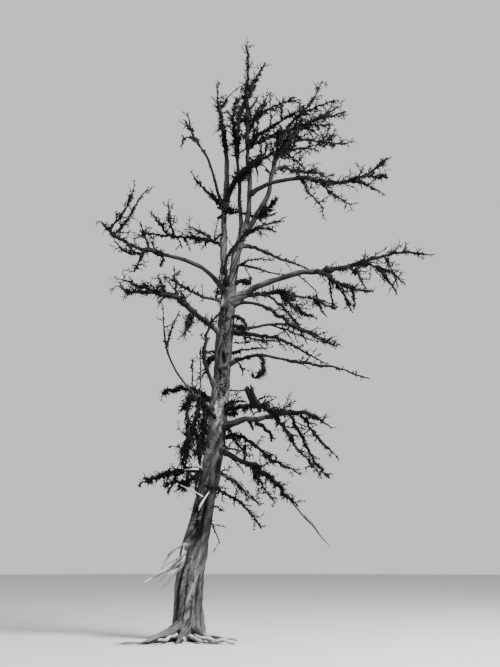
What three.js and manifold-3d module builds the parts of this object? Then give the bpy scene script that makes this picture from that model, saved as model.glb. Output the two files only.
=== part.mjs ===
// A dead mountain pine: a grey trunk with a flared foot, which leans and then forks in two leaders,
// and long bare boughs that end in dry twigs. The origin is the middle of the flat cut at the ground.
import * as THREE from 'three';
import { mergeVertices } from 'three/addons/utils/BufferGeometryUtils.js';
import Module from 'manifold-3d';

const wasm = await Module();
wasm.setup();

// Sizes are in millimetres and angles in degrees. A heading turns from +X, the right of the photo,
// towards +Y, away from the viewer. A rise is measured up from level. A list of headings, rises or
// widths is spread evenly over the limb's length. The place of a limb is given by on, the limb that
// carries it, and at, the distance along that limb. Up to bare it is a bough, and past it twigs,
// with the forks that spring from it there.
const treeHeight = 12150;
const joinGap = 0.3;
const nearRoot = 600;
const boughStep = 290;
const boughSides = 7;
const stemStep = 460;
const stemSides = 4;
const wander = 3;
const seeds = { trunk: 1, limbs: 11, twigs: 501, broken: 901 };
const series = { start: 2654435761, factor: 1664525, step: 1013904223, range: 2 ** 32 };
const tiny = 1e-6;

const trunk = {
  length: 6830, levels: 20, sides: 14,
  heading: [0], rise: [90, 88, 77, 78, 81.5, 84, 87, 84.5, 88],
  width: [560, 530, 500, 405, 365, 372, 345, 352, 290],
  ridge: 0.07, ridges: 3, twist: 0.00055, flare: 0.28, flareHeight: 300,
};

// Root toes that run out over the ground from the flared foot
const roots = [
  { heading: 236, length: 1750, width: [340, 230, 160, 100] },
  { heading: 213, length: 1350, width: [280, 170, 100, 70] },
  { heading: 262, length: 1150, width: [260, 160, 80] },
  { heading: 304, length: 1350, width: [290, 180, 110, 60] },
  { heading: 350, length: 780, width: [290, 160, 75] },
  { heading: 38, length: 720, width: [280, 150, 65] },
  { heading: 84, length: 820, width: [290, 150, 65] },
  { heading: 128, length: 700, width: [270, 140, 60] },
  { heading: 172, length: 880, width: [290, 150, 70] },
];
const rootStart = 470;
const rootRise = [-58, -38, -16, -4];
const rootSteps = 4;
const rootSides = 5;
const rootTipRise = 0.2;
const groundCut = { width: 4000, depth: 1000 };

// Hollows worn in the trunk: height, side that they face, length, width, depth and lean
const hollowSides = 8;
const hollowRings = 5;
const hollows = [
  { height: 980, facing: 228, length: 1250, width: 70, depth: 100, lean: 3 },
  { height: 2080, facing: 282, length: 560, width: 190, depth: 150, lean: 8 },
  { height: 3250, facing: 300, length: 300, width: 120, depth: 90, lean: 5 },
  { height: 5360, facing: 275, length: 330, width: 90, depth: 80, lean: 4 },
  { height: 4300, facing: 95, length: 700, width: 110, depth: 90, lean: 6 },
];

// The leaders and the stems that they divide into
const stems = [
  { name: 'left_leader', on: 'trunk', at: 6690, length: 4900, bare: 3250,
    offset: [-85, 0, 0], heading: [108, 100, 80, 60, 130, 150, 112],
    rise: [87, 84, 84, 82, 82, 78, 83], width: [130, 112, 108, 100, 92, 78, 58, 24],
    twigs: { reach: 460 } },
  { name: 'right_leader', on: 'trunk', at: 6690, length: 1400, bare: 1400,
    offset: [50, 0, 0], heading: [-32, -23, -18, -14], rise: [88, 83, 80, 75, 68],
    width: [190, 180, 195, 185, 170] },
  { name: 'top_stem', on: 'right_leader', at: 1290, length: 4050, bare: 1650,
    heading: [-15, -50, -150, -75, -95, -60, -160], rise: [70, 84, 83, 87, 87, 86, 82],
    width: [118, 104, 94, 84, 70, 52, 22],
    forks: [
      { at: 1800, length: 1200, heading: [35, 30], rise: [42, 27], width: [48, 18] },
      { at: 1950, length: 1400, heading: [-38], rise: [20, 15, 8], width: [52, 18] },
      { at: 2150, length: 1200, heading: [33, 42], rise: [58, 67], width: [46, 16] },
      { at: 2380, length: 1200, heading: [-20], rise: [35, 15, -2], width: [48, 18] },
    ],
    twigs: { reach: 500 } },
  { name: 'middle_stem', on: 'right_leader', at: 1250, length: 4350, bare: 1750,
    heading: [125, 110, 120, 60, 20, 15], rise: [82, 83, 83, 82, 72, 66, 62],
    width: [96, 84, 76, 66, 58, 50, 38, 22],
    forks: [{ at: 1850, length: 1500, heading: [130, 100, 45], rise: [72, 76, 70], width: [50, 18] }],
    twigs: { reach: 420 } },
  { name: 'leaning_stem', on: 'right_leader', at: 1200, length: 3620, bare: 1900,
    heading: [-22, -22, -30, -60, -50, -25, -19, -26, -42], rise: [54, 48, 58, 73, 71, 56, 40, 50, 68],
    width: [120, 108, 96, 86, 70, 50, 20],
    forks: [{ at: 2750, length: 1000, heading: [-36], rise: [14, 10, -12], width: [34, 16] }],
    twigs: { reach: 420 } },
];

// The boughs, from the top of the tree down its right side and then down its left side
const boughs = [
  { name: 'fan_right', on: 'leaning_stem', at: 1750, length: 2500, bare: 0,
    heading: [62, 50, 32, 25, 20], rise: [58, 50, 41, 33, 37], width: [72, 60, 46, 20],
    forks: [{ at: 650, length: 1050, heading: [31, 38], rise: [56, 62], width: [40, 16] }],
    twigs: { reach: 360 } },
  { name: 'fan_front', on: 'leaning_stem', at: 1680, length: 1950, bare: 0,
    heading: [-65, -45, -25, -28], rise: [47, 38, 12, 7, 6], width: [72, 56, 42, 20],
    forks: [{ at: 1050, length: 600, heading: [-38], rise: [0, -30], width: [36, 16] }],
    twigs: { reach: 380 } },
  { name: 'fan_low', on: 'leaning_stem', at: 1620, length: 2650, bare: 0,
    heading: [60, 47, 36, 34, 32, 26], rise: [68, 50, 28, 8, 4, 30], width: [74, 60, 46, 20],
    forks: [{ at: 1850, length: 350, heading: [20], rise: [45], width: [36, 16] }],
    twigs: { reach: 360 } },
  { name: 'front_diagonal', on: 'left_leader', at: 1870, length: 3050, bare: 1560,
    heading: [-80, -56, -30, -28, -28], rise: [48, 37, 20, 14, 2, 0, -3], width: [135, 112, 84, 58, 22],
    forks: [{ at: 2050, length: 800, heading: [-54], rise: [-39], width: [34, 16] }],
    twigs: { reach: 400 } },
  { name: 'high_right', on: 'top_stem', at: 850, length: 3100, bare: 1180,
    heading: [-50, -48, -20, -12, -14, -18, -21, -26], rise: [17, 4, 2, -10, -10, 4, 29, 43],
    width: [100, 86, 70, 50, 20],
    forks: [
      { at: 1250, length: 850, heading: [-25, -20], rise: [-60, -54, -48], width: [38, 16] },
      { at: 1600, length: 950, heading: [-30], rise: [-36, -48, -36], width: [40, 16] },
      { at: 2050, length: 900, heading: [0], rise: [2, -4, -21, -55], width: [40, 16] },
      { at: 2500, length: 600, heading: [-38], rise: [-2, -26], width: [36, 16] },
    ],
    twigs: { reach: 400 } },
  { name: 'high_right_back', on: 'leaning_stem', at: 1570, length: 1650, bare: 0,
    heading: [40, 36, 40], rise: [34, 2, 14, 3, -18], width: [60, 46, 18],
    twigs: { reach: 330 } },
  { name: 'upper_right_back', on: 'right_leader', at: 1220, length: 1600, bare: 0,
    heading: [53, 45], rise: [35, 34, 23, 15], width: [58, 44, 18], twigs: { reach: 300 } },
  { name: 'mid_right_back', on: 'right_leader', at: 1060, length: 2100, bare: 0,
    heading: [43, 40], rise: [22, -7, -10, -3, -10], width: [84, 66, 50, 20],
    twigs: { reach: 260 } },
  { name: 'mid_right_front', on: 'right_leader', at: 670, length: 1300, bare: 0,
    heading: [-38], rise: [-14, -20, -20, -11], width: [56, 44, 18],
    forks: [{ at: 100, length: 1100, heading: [-55, -48], rise: [19, -5, -20, -14], width: [36, 16] }],
    twigs: { reach: 200 } },
  { name: 'crossing_front', on: 'trunk', at: 6600, length: 2400, bare: 0,
    heading: [-115, -87, -53, -35, -32], rise: [55, 56, 44, 26, 22, -4, -44], width: [86, 66, 52, 20],
    twigs: { reach: 330 } },
  { name: 'great_right', on: 'trunk', at: 6480, length: 4200, bare: 1980,
    heading: [-22, -17], rise: [38, 21, 13, -2, 5, 14, 1, -20],
    width: [205, 150, 122, 108, 88, 62, 44, 22],
    forks: [
      { at: 2030, length: 1250, heading: [-27], rise: [-36, -33, -23, -2], width: [62, 20] },
      { at: 2160, length: 1000, heading: [3, 3, 3, 45], rise: [-58, -54, -56, -85], width: [50, 18] },
      { at: 2600, length: 750, heading: [-45, -60, -80], rise: [-32, -48, -56], width: [46, 18] },
      { at: 2780, length: 1100, heading: [11, 11, 24], rise: [-4, -4, -20, -60], width: [58, 20] },
      { at: 3330, length: 700, heading: [-5], rise: [-58, -76], width: [40, 16] },
    ],
    twigs: { reach: 400 } },
  { name: 'fork_right_back', on: 'trunk', at: 6520, length: 2750, bare: 0,
    heading: [34, 28], rise: [35, 13, 1, 3, -17], width: [84, 66, 50, 20],
    forks: [{ at: 1360, length: 1000, heading: [35, 27], rise: [-38, -26, -12], width: [48, 18] }],
    twigs: { reach: 400 } },
  { name: 'fork_right_front', on: 'trunk', at: 6470, length: 2650, bare: 850,
    heading: [-27, -31], rise: [18, -13, -34, -35, -28, -32], width: [92, 74, 54, 20],
    twigs: { reach: 400 } },
  { name: 'knot_right_back', on: 'trunk', at: 5940, length: 2650, bare: 1200,
    heading: [28], rise: [15, 16, 11, -7, -16, -20], width: [96, 74, 52, 20],
    twigs: { reach: 330 } },
  { name: 'knot_right_front', on: 'trunk', at: 5910, length: 2200, bare: 0,
    heading: [-15, -18], rise: [9, -9, -22, -35, -26], width: [84, 64, 46, 20],
    forks: [{ at: 200, length: 1300, heading: [-49], rise: [-21, -12], width: [40, 16] }],
    twigs: { reach: 280 } },
  { name: 'long_right', on: 'trunk', at: 5240, length: 3150, bare: 1450,
    heading: [-27], rise: [25, 8, -12, -13, -10, -23, -16], width: [104, 84, 66, 46, 18],
    twigs: { reach: 240 } },
  { name: 'front_tangle', on: 'trunk', at: 4380, length: 1750, bare: 0,
    heading: [-43, -43, -48], rise: [4, 0, -5, -20, -22], width: [96, 90, 76, 50, 20],
    forks: [{ at: 980, length: 420, heading: [-130], rise: [55], width: [170, 205] }], // a broken slab
    twigs: { reach: 400 } },
  { name: 'low_right', on: 'trunk', at: 3950, length: 2650, bare: 1180,
    heading: [-35, -30, -30, -32, -41], rise: [32, 12, 0, 4, 4, -26, -40],
    width: [150, 124, 104, 72, 48, 20],
    forks: [
      { at: 1340, length: 1700, heading: [-53, -49], rise: [-47, -40], width: [66, 20] },
      { at: 1660, length: 1350, heading: [0], rise: [-58, -67, -57, -48], width: [56, 20] },
      { at: 1880, length: 1100, heading: [-8], rise: [-56, -39], width: [48, 18] },
    ],
    twigs: { reach: 420 } },
  { name: 'low_right_under', on: 'trunk', at: 3790, length: 2120, bare: 0,
    heading: [-32, -36, -34], rise: [23, -6, -33, -35, -23, -25], width: [84, 64, 48, 20],
    forks: [{ at: 330, length: 950, heading: [-62], rise: [-30], width: [32, 14] }],
    twigs: { reach: 400 } },
  { name: 'lower_right', on: 'trunk', at: 3650, length: 2350, bare: 850,
    heading: [-33, -34, -34, -43, -46], rise: [-23, -24, -21, -38, -42, -36],
    width: [122, 92, 60, 20],
    forks: [{ at: 950, length: 1220, heading: [-68, -58], rise: [-42, -33], width: [50, 18] }],
    twigs: { reach: 400 } },
  { name: 'lowest_right', on: 'trunk', at: 2920, length: 1650, bare: 0,
    heading: [-37, -40, -54], rise: [-24, -26, -38, -44], width: [62, 46, 18],
    twigs: { reach: 300 } },
  { name: 'low_back', on: 'trunk', at: 3230, length: 1750, bare: 0,
    heading: [54], rise: [-17, -26], width: [78, 56, 20], twigs: { reach: 400 } },
  { name: 'high_back', on: 'trunk', at: 6480, length: 2400, bare: 0,
    heading: [104, 90, 82, 92], rise: [26, 30, 26, 20, 30], width: [96, 72, 50, 20],
    twigs: { reach: 450 } },
  { name: 'middle_back', on: 'trunk', at: 5360, length: 2450, bare: 0,
    heading: [118, 104, 96, 110], rise: [20, 6, -8, -14], width: [92, 70, 48, 20],
    twigs: { reach: 450 } },
  { name: 'lower_back', on: 'trunk', at: 4420, length: 2200, bare: 0,
    heading: [80, 96, 104, 100], rise: [10, -4, -20, -28], width: [84, 62, 20],
    twigs: { reach: 440 } },
  { name: 'high_left', on: 'left_leader', at: 1980, length: 2100, bare: 1110,
    heading: [-150, -132, -125, -147, -133, -101], rise: [56, 64, 64, 47, 59, 68],
    width: [86, 70, 56, 42, 18],
    forks: [
      { at: 1450, length: 750, heading: [-130, -110], rise: [20, -11, -53, -57], width: [32, 16] },
      { at: 1540, length: 500, heading: [170], rise: [53, 68], width: [28, 16] },
    ],
    twigs: { reach: 220 } },
  { name: 'high_left_back', on: 'left_leader', at: 1890, length: 1650, bare: 0,
    heading: [132, 138, 129], rise: [49, 43, 54], width: [56, 44, 18],
    forks: [{ at: 200, length: 450, heading: [180], rise: [60], width: [34, 16] }],
    twigs: { reach: 220 } },
  { name: 'upper_left', on: 'left_leader', at: 1070, length: 2300, bare: 0,
    heading: [150, 152, 154, 152], rise: [44, 17, 11, 15, 11, -24], width: [78, 60, 46, 20],
    forks: [
      { at: 210, length: 800, heading: [-138], rise: [22, 21, 1], width: [44, 18] },
      { at: 1280, length: 760, heading: [-177, -177, -20], rise: [67, 72, 70], width: [46, 16] },
      { at: 1460, length: 1000, heading: [118, 133, 124], rise: [50, 38, 48], width: [38, 16] },
    ],
    twigs: { reach: 360 } },
  { name: 'great_left', on: 'trunk', at: 6750, length: 3020, bare: 1520,
    heading: [-145, -149, -154, -155, -154, -151, -142], rise: [43, 33, 17, 5, 10, 23, 40],
    width: [128, 104, 92, 80, 54, 22],
    forks: [
      { at: 2660, length: 1150, heading: [-6], rise: [45, 60, 54], width: [46, 16] },
      { at: 2790, length: 1020, heading: [-24, -34, -60], rise: [41, 46, 66], width: [46, 16] },
      { at: 1880, length: 600, heading: [-162, -145], rise: [57, 72], width: [42, 16] },
      { at: 2020, length: 600, heading: [-110, -126], rise: [-68, -63], width: [52, 20] },
      { at: 1880, length: 800, heading: [180], rise: [-22, 0, 38, 47], width: [46, 18] },
    ],
    twigs: { reach: 360 } },
  { name: 'thin_left', on: 'trunk', at: 6540, length: 1450, bare: 0,
    heading: [-155, -145], rise: [11, 10, 24, 18], width: [56, 44, 18], twigs: { reach: 200 } },
  { name: 'mid_left', on: 'trunk', at: 5800, length: 2560, bare: 820,
    heading: [-155, -151, -149, -151, -155, -154, -137], rise: [46, 27, 32, 24, 1, -7, 42],
    width: [112, 96, 84, 64, 20],
    forks: [
      { at: 1420, length: 1020, heading: [-175], rise: [43, 11, 11, 48], width: [52, 18] },
      { at: 880, length: 720, heading: [-103, -115], rise: [-53], width: [60, 22] },
      { at: 1510, length: 500, heading: [-145, -80], rise: [34], width: [44, 18] },
      { at: 1290, length: 680, heading: [155, 110, 25], rise: [67, 76, 36], width: [44, 18] },
    ],
    twigs: { reach: 340 } },
  { name: 'left_back', on: 'trunk', at: 4340, length: 2050, bare: 0,
    heading: [122, 126, 136, 139, 128], rise: [40, 37, 19, 5, -22], width: [84, 62, 20],
    twigs: { reach: 420 } },
  { name: 'upright_left', on: 'trunk', at: 4665, length: 1700, bare: 830,
    heading: [-152, -148, -132, -65, -53, -40], rise: [52, 56, 66, 71, 68, 62],
    width: [132, 108, 88, 60, 24], twigs: { reach: 300 } },
  { name: 'sweeping_left', on: 'trunk', at: 4090, length: 2640, bare: 1720,
    heading: [-166, -160, -160, -156, -137, -106, -95], rise: [48, 49, 47, 55, 70, 76, 76],
    width: [84, 70, 56, 42, 20],
    forks: [{ at: 1830, length: 800, heading: [42, 22], rise: [77, 63], width: [40, 16] }],
    twigs: { reach: 200 } },
  { name: 'hanging_left', on: 'trunk', at: 4150, length: 1250, bare: 0,
    heading: [-112, -117, -125], rise: [30, 26, 12, -9], width: [90, 70, 24],
    forks: [{ at: 800, length: 900, heading: [-155], rise: [-73], width: [58, 20] }],
    twigs: { reach: 480, hang: -0.6 } },
  { name: 'low_left', on: 'trunk', at: 3150, length: 1550, bare: 0,
    heading: [-150], rise: [17, -2, -13, -22, -20], width: [88, 68, 50, 20],
    twigs: { reach: 440 } },
];

// A pale broken limb that hangs down the left of the foot, with a second prong that springs from it
const brokenLimb = {
  on: 'trunk', at: 1880, length: 1330, heading: [-142, -126, -133, -147, -152],
  rise: [-22, -50, -56, -34, -38], width: [120, 96, 66, 34],
};
const brokenProng = {
  at: 400, length: 760, heading: [-174, -156, -146, -164], rise: [-16, -50, -64, -20], width: [74, 56, 28],
};

// Side twigs: how far apart they stand on a stem, how they turn round it and lean away from it, how long
// and thick they are, and where on each its offshoot springs. Shares are of the twig or stem they are on.
const twigRule = {
  sides: 3, spacing: 410, placeRange: 0.5, turn: 137.5, turnRange: 60, spread: 52, spreadRange: 34,
  longest: 1.35, shortest: 0.6, taper: 0.5, width: 34, widthShare: 0.6, tipShare: 0.45,
  bend: 0.9, lift: 0.1, hangAtRoot: 0.6, clear: 14, lowest: 150, onFork: 0.75,
  offshootEvery: 3, offshootFrom: 0.66, offshootTo: 0.99, offshootShare: 0.55, offshootSpread: 48,
  offshootWidth: 0.42,
};

// The trunk and its stems are grey, the boughs darker, broken wood pale and the dry twigs nearly black
const finishes = {
  trunk: { color: 0x8d8d8b, roughness: 0.85, metalness: 0 },
  bough: { color: 0x767674, roughness: 0.88, metalness: 0 },
  pale: { color: 0xb4b4b0, roughness: 0.82, metalness: 0 },
  twigs: { color: 0x2e2e2d, roughness: 0.95, metalness: 0 },
};

const up = new THREE.Vector3(0, 0, 1);
const fullTurn = 2 * Math.PI;

function radians(degrees) {
  return degrees * Math.PI / 180;
}

// Numbers from 0 to 1 that come in the same order each time for one seed
function numbers(seed) {
  let state = (seed * series.start) % series.range;
  return () => {
    state = (state * series.factor + series.step) % series.range;
    return state / series.range;
  };
}

// The value at a share of the way through a list that is spread evenly
function along(values, share) {
  const place = Math.min(Math.max(share, 0), 1) * (values.length - 1);
  const index = Math.min(Math.floor(place), Math.max(values.length - 2, 0));
  const next = values[Math.min(index + 1, values.length - 1)];
  return values[index] + (next - values[index]) * (place - index);
}

// A drawn number spread evenly on both sides of nought, over the range given
function spreadOf(range, draw) {
  return range * (draw() - 0.5);
}

function direction(heading, rise) {
  const level = Math.cos(radians(rise));
  return new THREE.Vector3(
    level * Math.cos(radians(heading)), level * Math.sin(radians(heading)), Math.sin(radians(rise)));
}

// The middle line of a limb, whose heading and rise change along it and wander a little at each step
function middleLine(limb, start, step, draw, sway = wander) {
  const bare = limb.bare ?? 0;
  const stretches = [[0, bare], [bare, limb.length]].filter(([from, to]) => to > from);
  const points = [start.clone()];
  const places = [0];
  for (const [from, to] of stretches) {
    const count = Math.max(1, Math.round((to - from) / step));
    for (let i = 0; i < count; i += 1) {
      const share = (from + (to - from) * (i + 0.5) / count) / limb.length;
      const heading = along(limb.heading, share) + spreadOf(sway * 2, draw);
      const rise = along(limb.rise, share) + spreadOf(sway * 2, draw);
      const last = points[points.length - 1];
      points.push(last.clone().addScaledVector(direction(heading, rise), (to - from) / count));
      places.push(from + (to - from) * (i + 1) / count);
    }
  }
  return { points, places, split: places.indexOf(bare) };
}

// The point and the direction at a distance along a middle line
function placeOn(line, distance) {
  const last = line.points.length - 2;
  let index = 0;
  while (index < last && line.places[index + 1] < distance) {
    index += 1;
  }
  const from = line.points[index];
  const span = line.points[index + 1].clone().sub(from);
  const share = (distance - line.places[index]) / (line.places[index + 1] - line.places[index]);
  return { point: from.clone().addScaledVector(span, share), tangent: span.normalize() };
}

// A direction square to the given one, which keeps as near as it can to the one before it
function squareTo(tangent, before) {
  const side = before.clone().addScaledVector(tangent, -before.dot(tangent));
  if (side.length() < tiny) {
    side.set(1, 0, 0).addScaledVector(tangent, -tangent.x);
  }
  return side.normalize();
}

// One closed body through rings of corners. place gives a corner of a ring, or the middle of an end.
function loft(steps, sides, pointed, place) {
  const shape = new THREE.CylinderGeometry(pointed ? 0 : 1, 1, 1, sides, steps);
  const position = shape.attributes.position;
  for (let i = 0; i < position.count; i += 1) {
    const x = position.getX(i);
    const z = position.getZ(i);
    const ring = Math.round((position.getY(i) + 0.5) * steps);
    const corner = (Math.round(Math.atan2(x, z) / fullTurn * sides) + sides) % sides;
    const angle = Math.hypot(x, z) < tiny ? null : corner / sides * fullTurn;
    position.setXYZ(i, ...place(ring, angle).toArray());
  }
  return toSolid(shape);
}

function toSolid(shape) {
  shape.deleteAttribute('normal');
  shape.deleteAttribute('uv');
  const merged = mergeVertices(shape, 1e-3);
  return new wasm.Manifold(new wasm.Mesh({
    numProp: 3,
    vertProperties: merged.attributes.position.array,
    triVerts: new Uint32Array(merged.index.array),
  }));
}

// The largest piece of a solid, which leaves out loose scraps and fills sealed hollows
function largest(solid) {
  const pieces = solid.decompose();
  return pieces.reduce((best, piece) => (piece.volume() > best.volume() ? piece : best));
}

// A limb of round section between two points of its middle line, which may be grown on all sides or
// set out a small gap late
function limbBody(line, limb, first, last, sides, grow = 0, startGap = 0) {
  const tangents = line.points.map((point, i) => {
    const before = line.points[Math.max(i - 1, 0)];
    const after = line.points[Math.min(i + 1, line.points.length - 1)];
    return after.clone().sub(before).normalize();
  });
  const sideways = [];
  tangents.forEach((tangent, i) => {
    const before = i > 0 ? sideways[i - 1] : new THREE.Vector3(0, 1, 0).cross(tangent);
    sideways.push(squareTo(tangent, before));
  });
  return loft(last - first, sides, false, (ring, angle) => {
    const i = first + ring;
    const corner = line.points[i].clone();
    if (ring === 0) {
      corner.addScaledVector(tangents[i], startGap);
    }
    if (i === last) {
      corner.addScaledVector(tangents[i], grow);
    }
    if (angle === null) {
      return corner;
    }
    const radius = along(limb.width, line.places[i] / limb.length) / 2 + grow;
    const across = tangents[i].clone().cross(sideways[i]);
    corner.addScaledVector(sideways[i], radius * Math.cos(angle));
    return corner.addScaledVector(across, radius * Math.sin(angle));
  });
}

// A twig through a few points, which tapers to a point
function twigBody(points, width) {
  const steps = points.length - 1;
  return loft(steps, twigRule.sides, true, (ring, angle) => {
    const corner = points[ring].clone();
    if (angle === null) {
      return corner;
    }
    const ahead = points[Math.min(ring + 1, steps)].clone().sub(points[Math.max(ring - 1, 0)]).normalize();
    const side = squareTo(ahead, up);
    const across = ahead.clone().cross(side);
    const radius = width / 2 * (1 - ring / steps * (1 - twigRule.tipShare));
    corner.addScaledVector(side, radius * Math.cos(angle));
    return corner.addScaledVector(across, radius * Math.sin(angle));
  });
}

// The trunk is a stack of level sections with ridges that twist round it as they climb
function trunkRadius(height, angle, grow) {
  const flare = trunk.flare * Math.exp(-height / trunk.flareHeight);
  const ridges = trunk.ridge * Math.cos(trunk.ridges * angle + height * trunk.twist);
  return along(trunk.width, height / trunk.length) / 2 * (1 + flare + ridges) + grow;
}

function rootBody(root, grow) {
  const limb = { ...root, heading: [root.heading], rise: rootRise };
  const line = middleLine(limb, new THREE.Vector3(), root.length / rootSteps, numbers(root.heading));
  const fall = line.points[line.points.length - 1].z;
  const rest = along(root.width, 1) * rootTipRise;
  line.points.forEach((point) => {
    point.z = rootStart + point.z * (rest - rootStart) / fall;
  });
  return limbBody(line, limb, 0, rootSteps, rootSides, grow);
}

function hollowBody(hollow) {
  const shape = new THREE.SphereGeometry(0.5, hollowSides, hollowRings);
  shape.scale(hollow.depth * 2, hollow.width, hollow.length);
  shape.rotateX(radians(hollow.lean));
  shape.rotateZ(radians(hollow.facing));
  const centre = placeOn(lines.trunk, hollow.height).point;
  const reach = trunkRadius(hollow.height, radians(hollow.facing), 0);
  centre.addScaledVector(direction(hollow.facing, 0), reach);
  shape.translate(centre.x, centre.y, centre.z);
  return toSolid(shape);
}

function trunkBody(grow = 0) {
  const line = lines.trunk;
  let solid = loft(trunk.levels, trunk.sides, false, (ring, angle) => {
    const distance = line.places[ring];
    const corner = line.points[ring].clone();
    if (angle !== null) {
      const radius = trunkRadius(distance, angle, grow);
      corner.x += radius * Math.cos(angle);
      corner.y += radius * Math.sin(angle);
    }
    if (ring === trunk.levels) {
      corner.z += grow;
    }
    return corner;
  });
  for (const root of roots) {
    solid = solid.add(rootBody(root, grow));
  }
  if (grow === 0) {
    for (const hollow of hollows) {
      solid = solid.subtract(hollowBody(hollow));
    }
  }
  const ground = new THREE.BoxGeometry(groundCut.width, groundCut.width, groundCut.depth);
  ground.translate(0, 0, -groundCut.depth / 2);
  return largest(solid.subtract(toSolid(ground)));
}

// How near two straight stretches come to each other
function spanGap(a, b, c, d) {
  const u = b.clone().sub(a);
  const v = d.clone().sub(c);
  const w = a.clone().sub(c);
  const uu = u.dot(u);
  const uv = u.dot(v);
  const vv = v.dot(v);
  const uw = u.dot(w);
  const vw = v.dot(w);
  const area = uu * vv - uv * uv;
  let s = area > tiny ? Math.min(Math.max((uv * vw - vv * uw) / area, 0), 1) : 0;
  let t = (uv * s + vw) / vv;
  if (t < 0 || t > 1) {
    t = Math.min(Math.max(t, 0), 1);
    s = Math.min(Math.max((uv * t - uw) / uu, 0), 1);
  }
  return w.addScaledVector(u, s).addScaledVector(v, -t).length();
}

// Everything that has grown so far, as straight stretches with a radius, each with its node's name
const grown = [];

function remember(points, radii, node) {
  for (let i = 0; i + 1 < points.length; i += 1) {
    grown.push({ from: points[i], to: points[i + 1], radius: Math.max(radii[i], radii[i + 1]), node });
  }
}

function isClear(points, radius, node) {
  const low = Math.min(...points.map((point) => point.z));
  const high = Math.max(...points.map((point) => point.z));
  if (low < twigRule.lowest || high > treeHeight) {
    return false;
  }
  return !grown.some((span) => {
    if (span.node === node) {
      return false;
    }
    const room = span.radius + radius + twigRule.clear;
    return points.some((point, i) => i > 0 && spanGap(points[i - 1], point, span.from, span.to) < room);
  });
}

// A twig sets out from a stem at an angle, and its outer half bends up, down or aside
function twigPoints(point, tangent, turn, spread, length, hang, draw) {
  const side = squareTo(tangent, up);
  const across = tangent.clone().cross(side);
  const outward = side.multiplyScalar(Math.cos(turn)).addScaledVector(across, Math.sin(turn));
  const first = tangent.clone().multiplyScalar(Math.cos(spread)).addScaledVector(outward, Math.sin(spread));
  first.z += hang * twigRule.hangAtRoot;
  first.normalize();
  const second = first.clone();
  second.x += spreadOf(twigRule.bend, draw);
  second.y += spreadOf(twigRule.bend, draw);
  second.z += spreadOf(twigRule.bend, draw) + hang + twigRule.lift;
  second.normalize();
  const middle = point.clone().addScaledVector(first, length / 2);
  return [point.clone(), middle, middle.clone().addScaledVector(second, length / 2)];
}

// The offshoot of a twig springs from its inner half and keeps straight
function offshootPoints(twig, reach, hang, draw) {
  const { offshootFrom, offshootTo, offshootSpread, spreadRange, offshootShare } = twigRule;
  const ahead = twig[2].clone().sub(twig[1]).normalize();
  const spread = radians(offshootSpread + spreadOf(spreadRange, draw));
  const root = twig[0].clone().lerp(twig[1], offshootFrom + (offshootTo - offshootFrom) * draw());
  const points = twigPoints(root, ahead, fullTurn * draw(), spread, reach * offshootShare, hang, draw);
  return [points[0], points[2]];
}

// Twigs branch from a stem at even steps past a place on it, each turned on from the last. Those that
// would touch what stands in another node are skipped.
function growTwigs(line, limb, from, reach, hang, node, draw) {
  const bodies = [];
  const count = Math.round((limb.length - from) / twigRule.spacing);
  for (let i = 0; i < count; i += 1) {
    const share = (i + 0.5 + spreadOf(twigRule.placeRange, draw)) / count;
    const distance = from + share * (limb.length - from);
    const { point, tangent } = placeOn(line, distance);
    const turn = radians(twigRule.turn * i + spreadOf(twigRule.turnRange, draw));
    const spread = radians(twigRule.spread + spreadOf(twigRule.spreadRange, draw));
    const size = twigRule.shortest + (twigRule.longest - twigRule.shortest) * draw();
    const length = reach * (1 - twigRule.taper * share) * size;
    const points = twigPoints(point, tangent, turn, spread, length, hang, draw);
    const shoot = offshootPoints(points, length, hang, draw);
    const width = Math.min(twigRule.width, along(limb.width, distance / limb.length) * twigRule.widthShare);
    if (!isClear(points, width / 2, node)) {
      continue;
    }
    remember(points, [width / 2, width / 2, width / 4], node);
    bodies.push(twigBody(points, width));
    const shootWidth = width * twigRule.offshootWidth;
    if (i % twigRule.offshootEvery === 0 && isClear(shoot, shootWidth / 2, node)) {
      remember(shoot, [shootWidth / 2, shootWidth / 4], node);
      bodies.push(twigBody(shoot, shootWidth));
    }
  }
  return bodies;
}

const tree = new THREE.Group();

// A solid becomes a mesh about its own root point, in the finish that is given
function addMesh(name, solid, root, finish) {
  const mesh = solid.getMesh();
  const geometry = new THREE.BufferGeometry();
  geometry.setAttribute('position', new THREE.BufferAttribute(mesh.vertProperties, 3));
  geometry.setIndex(new THREE.BufferAttribute(mesh.triVerts, 1));
  geometry.translate(-root.x, -root.y, -root.z);
  geometry.computeVertexNormals();
  const piece = new THREE.Mesh(geometry, new THREE.MeshStandardMaterial(finish));
  piece.name = name;
  piece.position.copy(root);
  tree.add(piece);
}

// Middle lines first, so that every limb knows where the others will be
const lines = {};
const limbs = [...stems, ...boughs];

const trunkDraw = numbers(seeds.trunk);
lines.trunk = middleLine(trunk, new THREE.Vector3(), trunk.length / trunk.levels, trunkDraw, 0);
const trunkRadii = lines.trunk.places.map((place) => trunkRadius(place, 0, 0) * (1 + trunk.ridge));
remember(lines.trunk.points, trunkRadii, 'trunk');

function radiiOf(line, limb) {
  return line.places.map((place) => along(limb.width, place / limb.length) / 2);
}

function rememberLimb(line, limb, first, last, node) {
  remember(line.points.slice(first, last + 1), radiiOf(line, limb).slice(first, last + 1), node);
}

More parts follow.
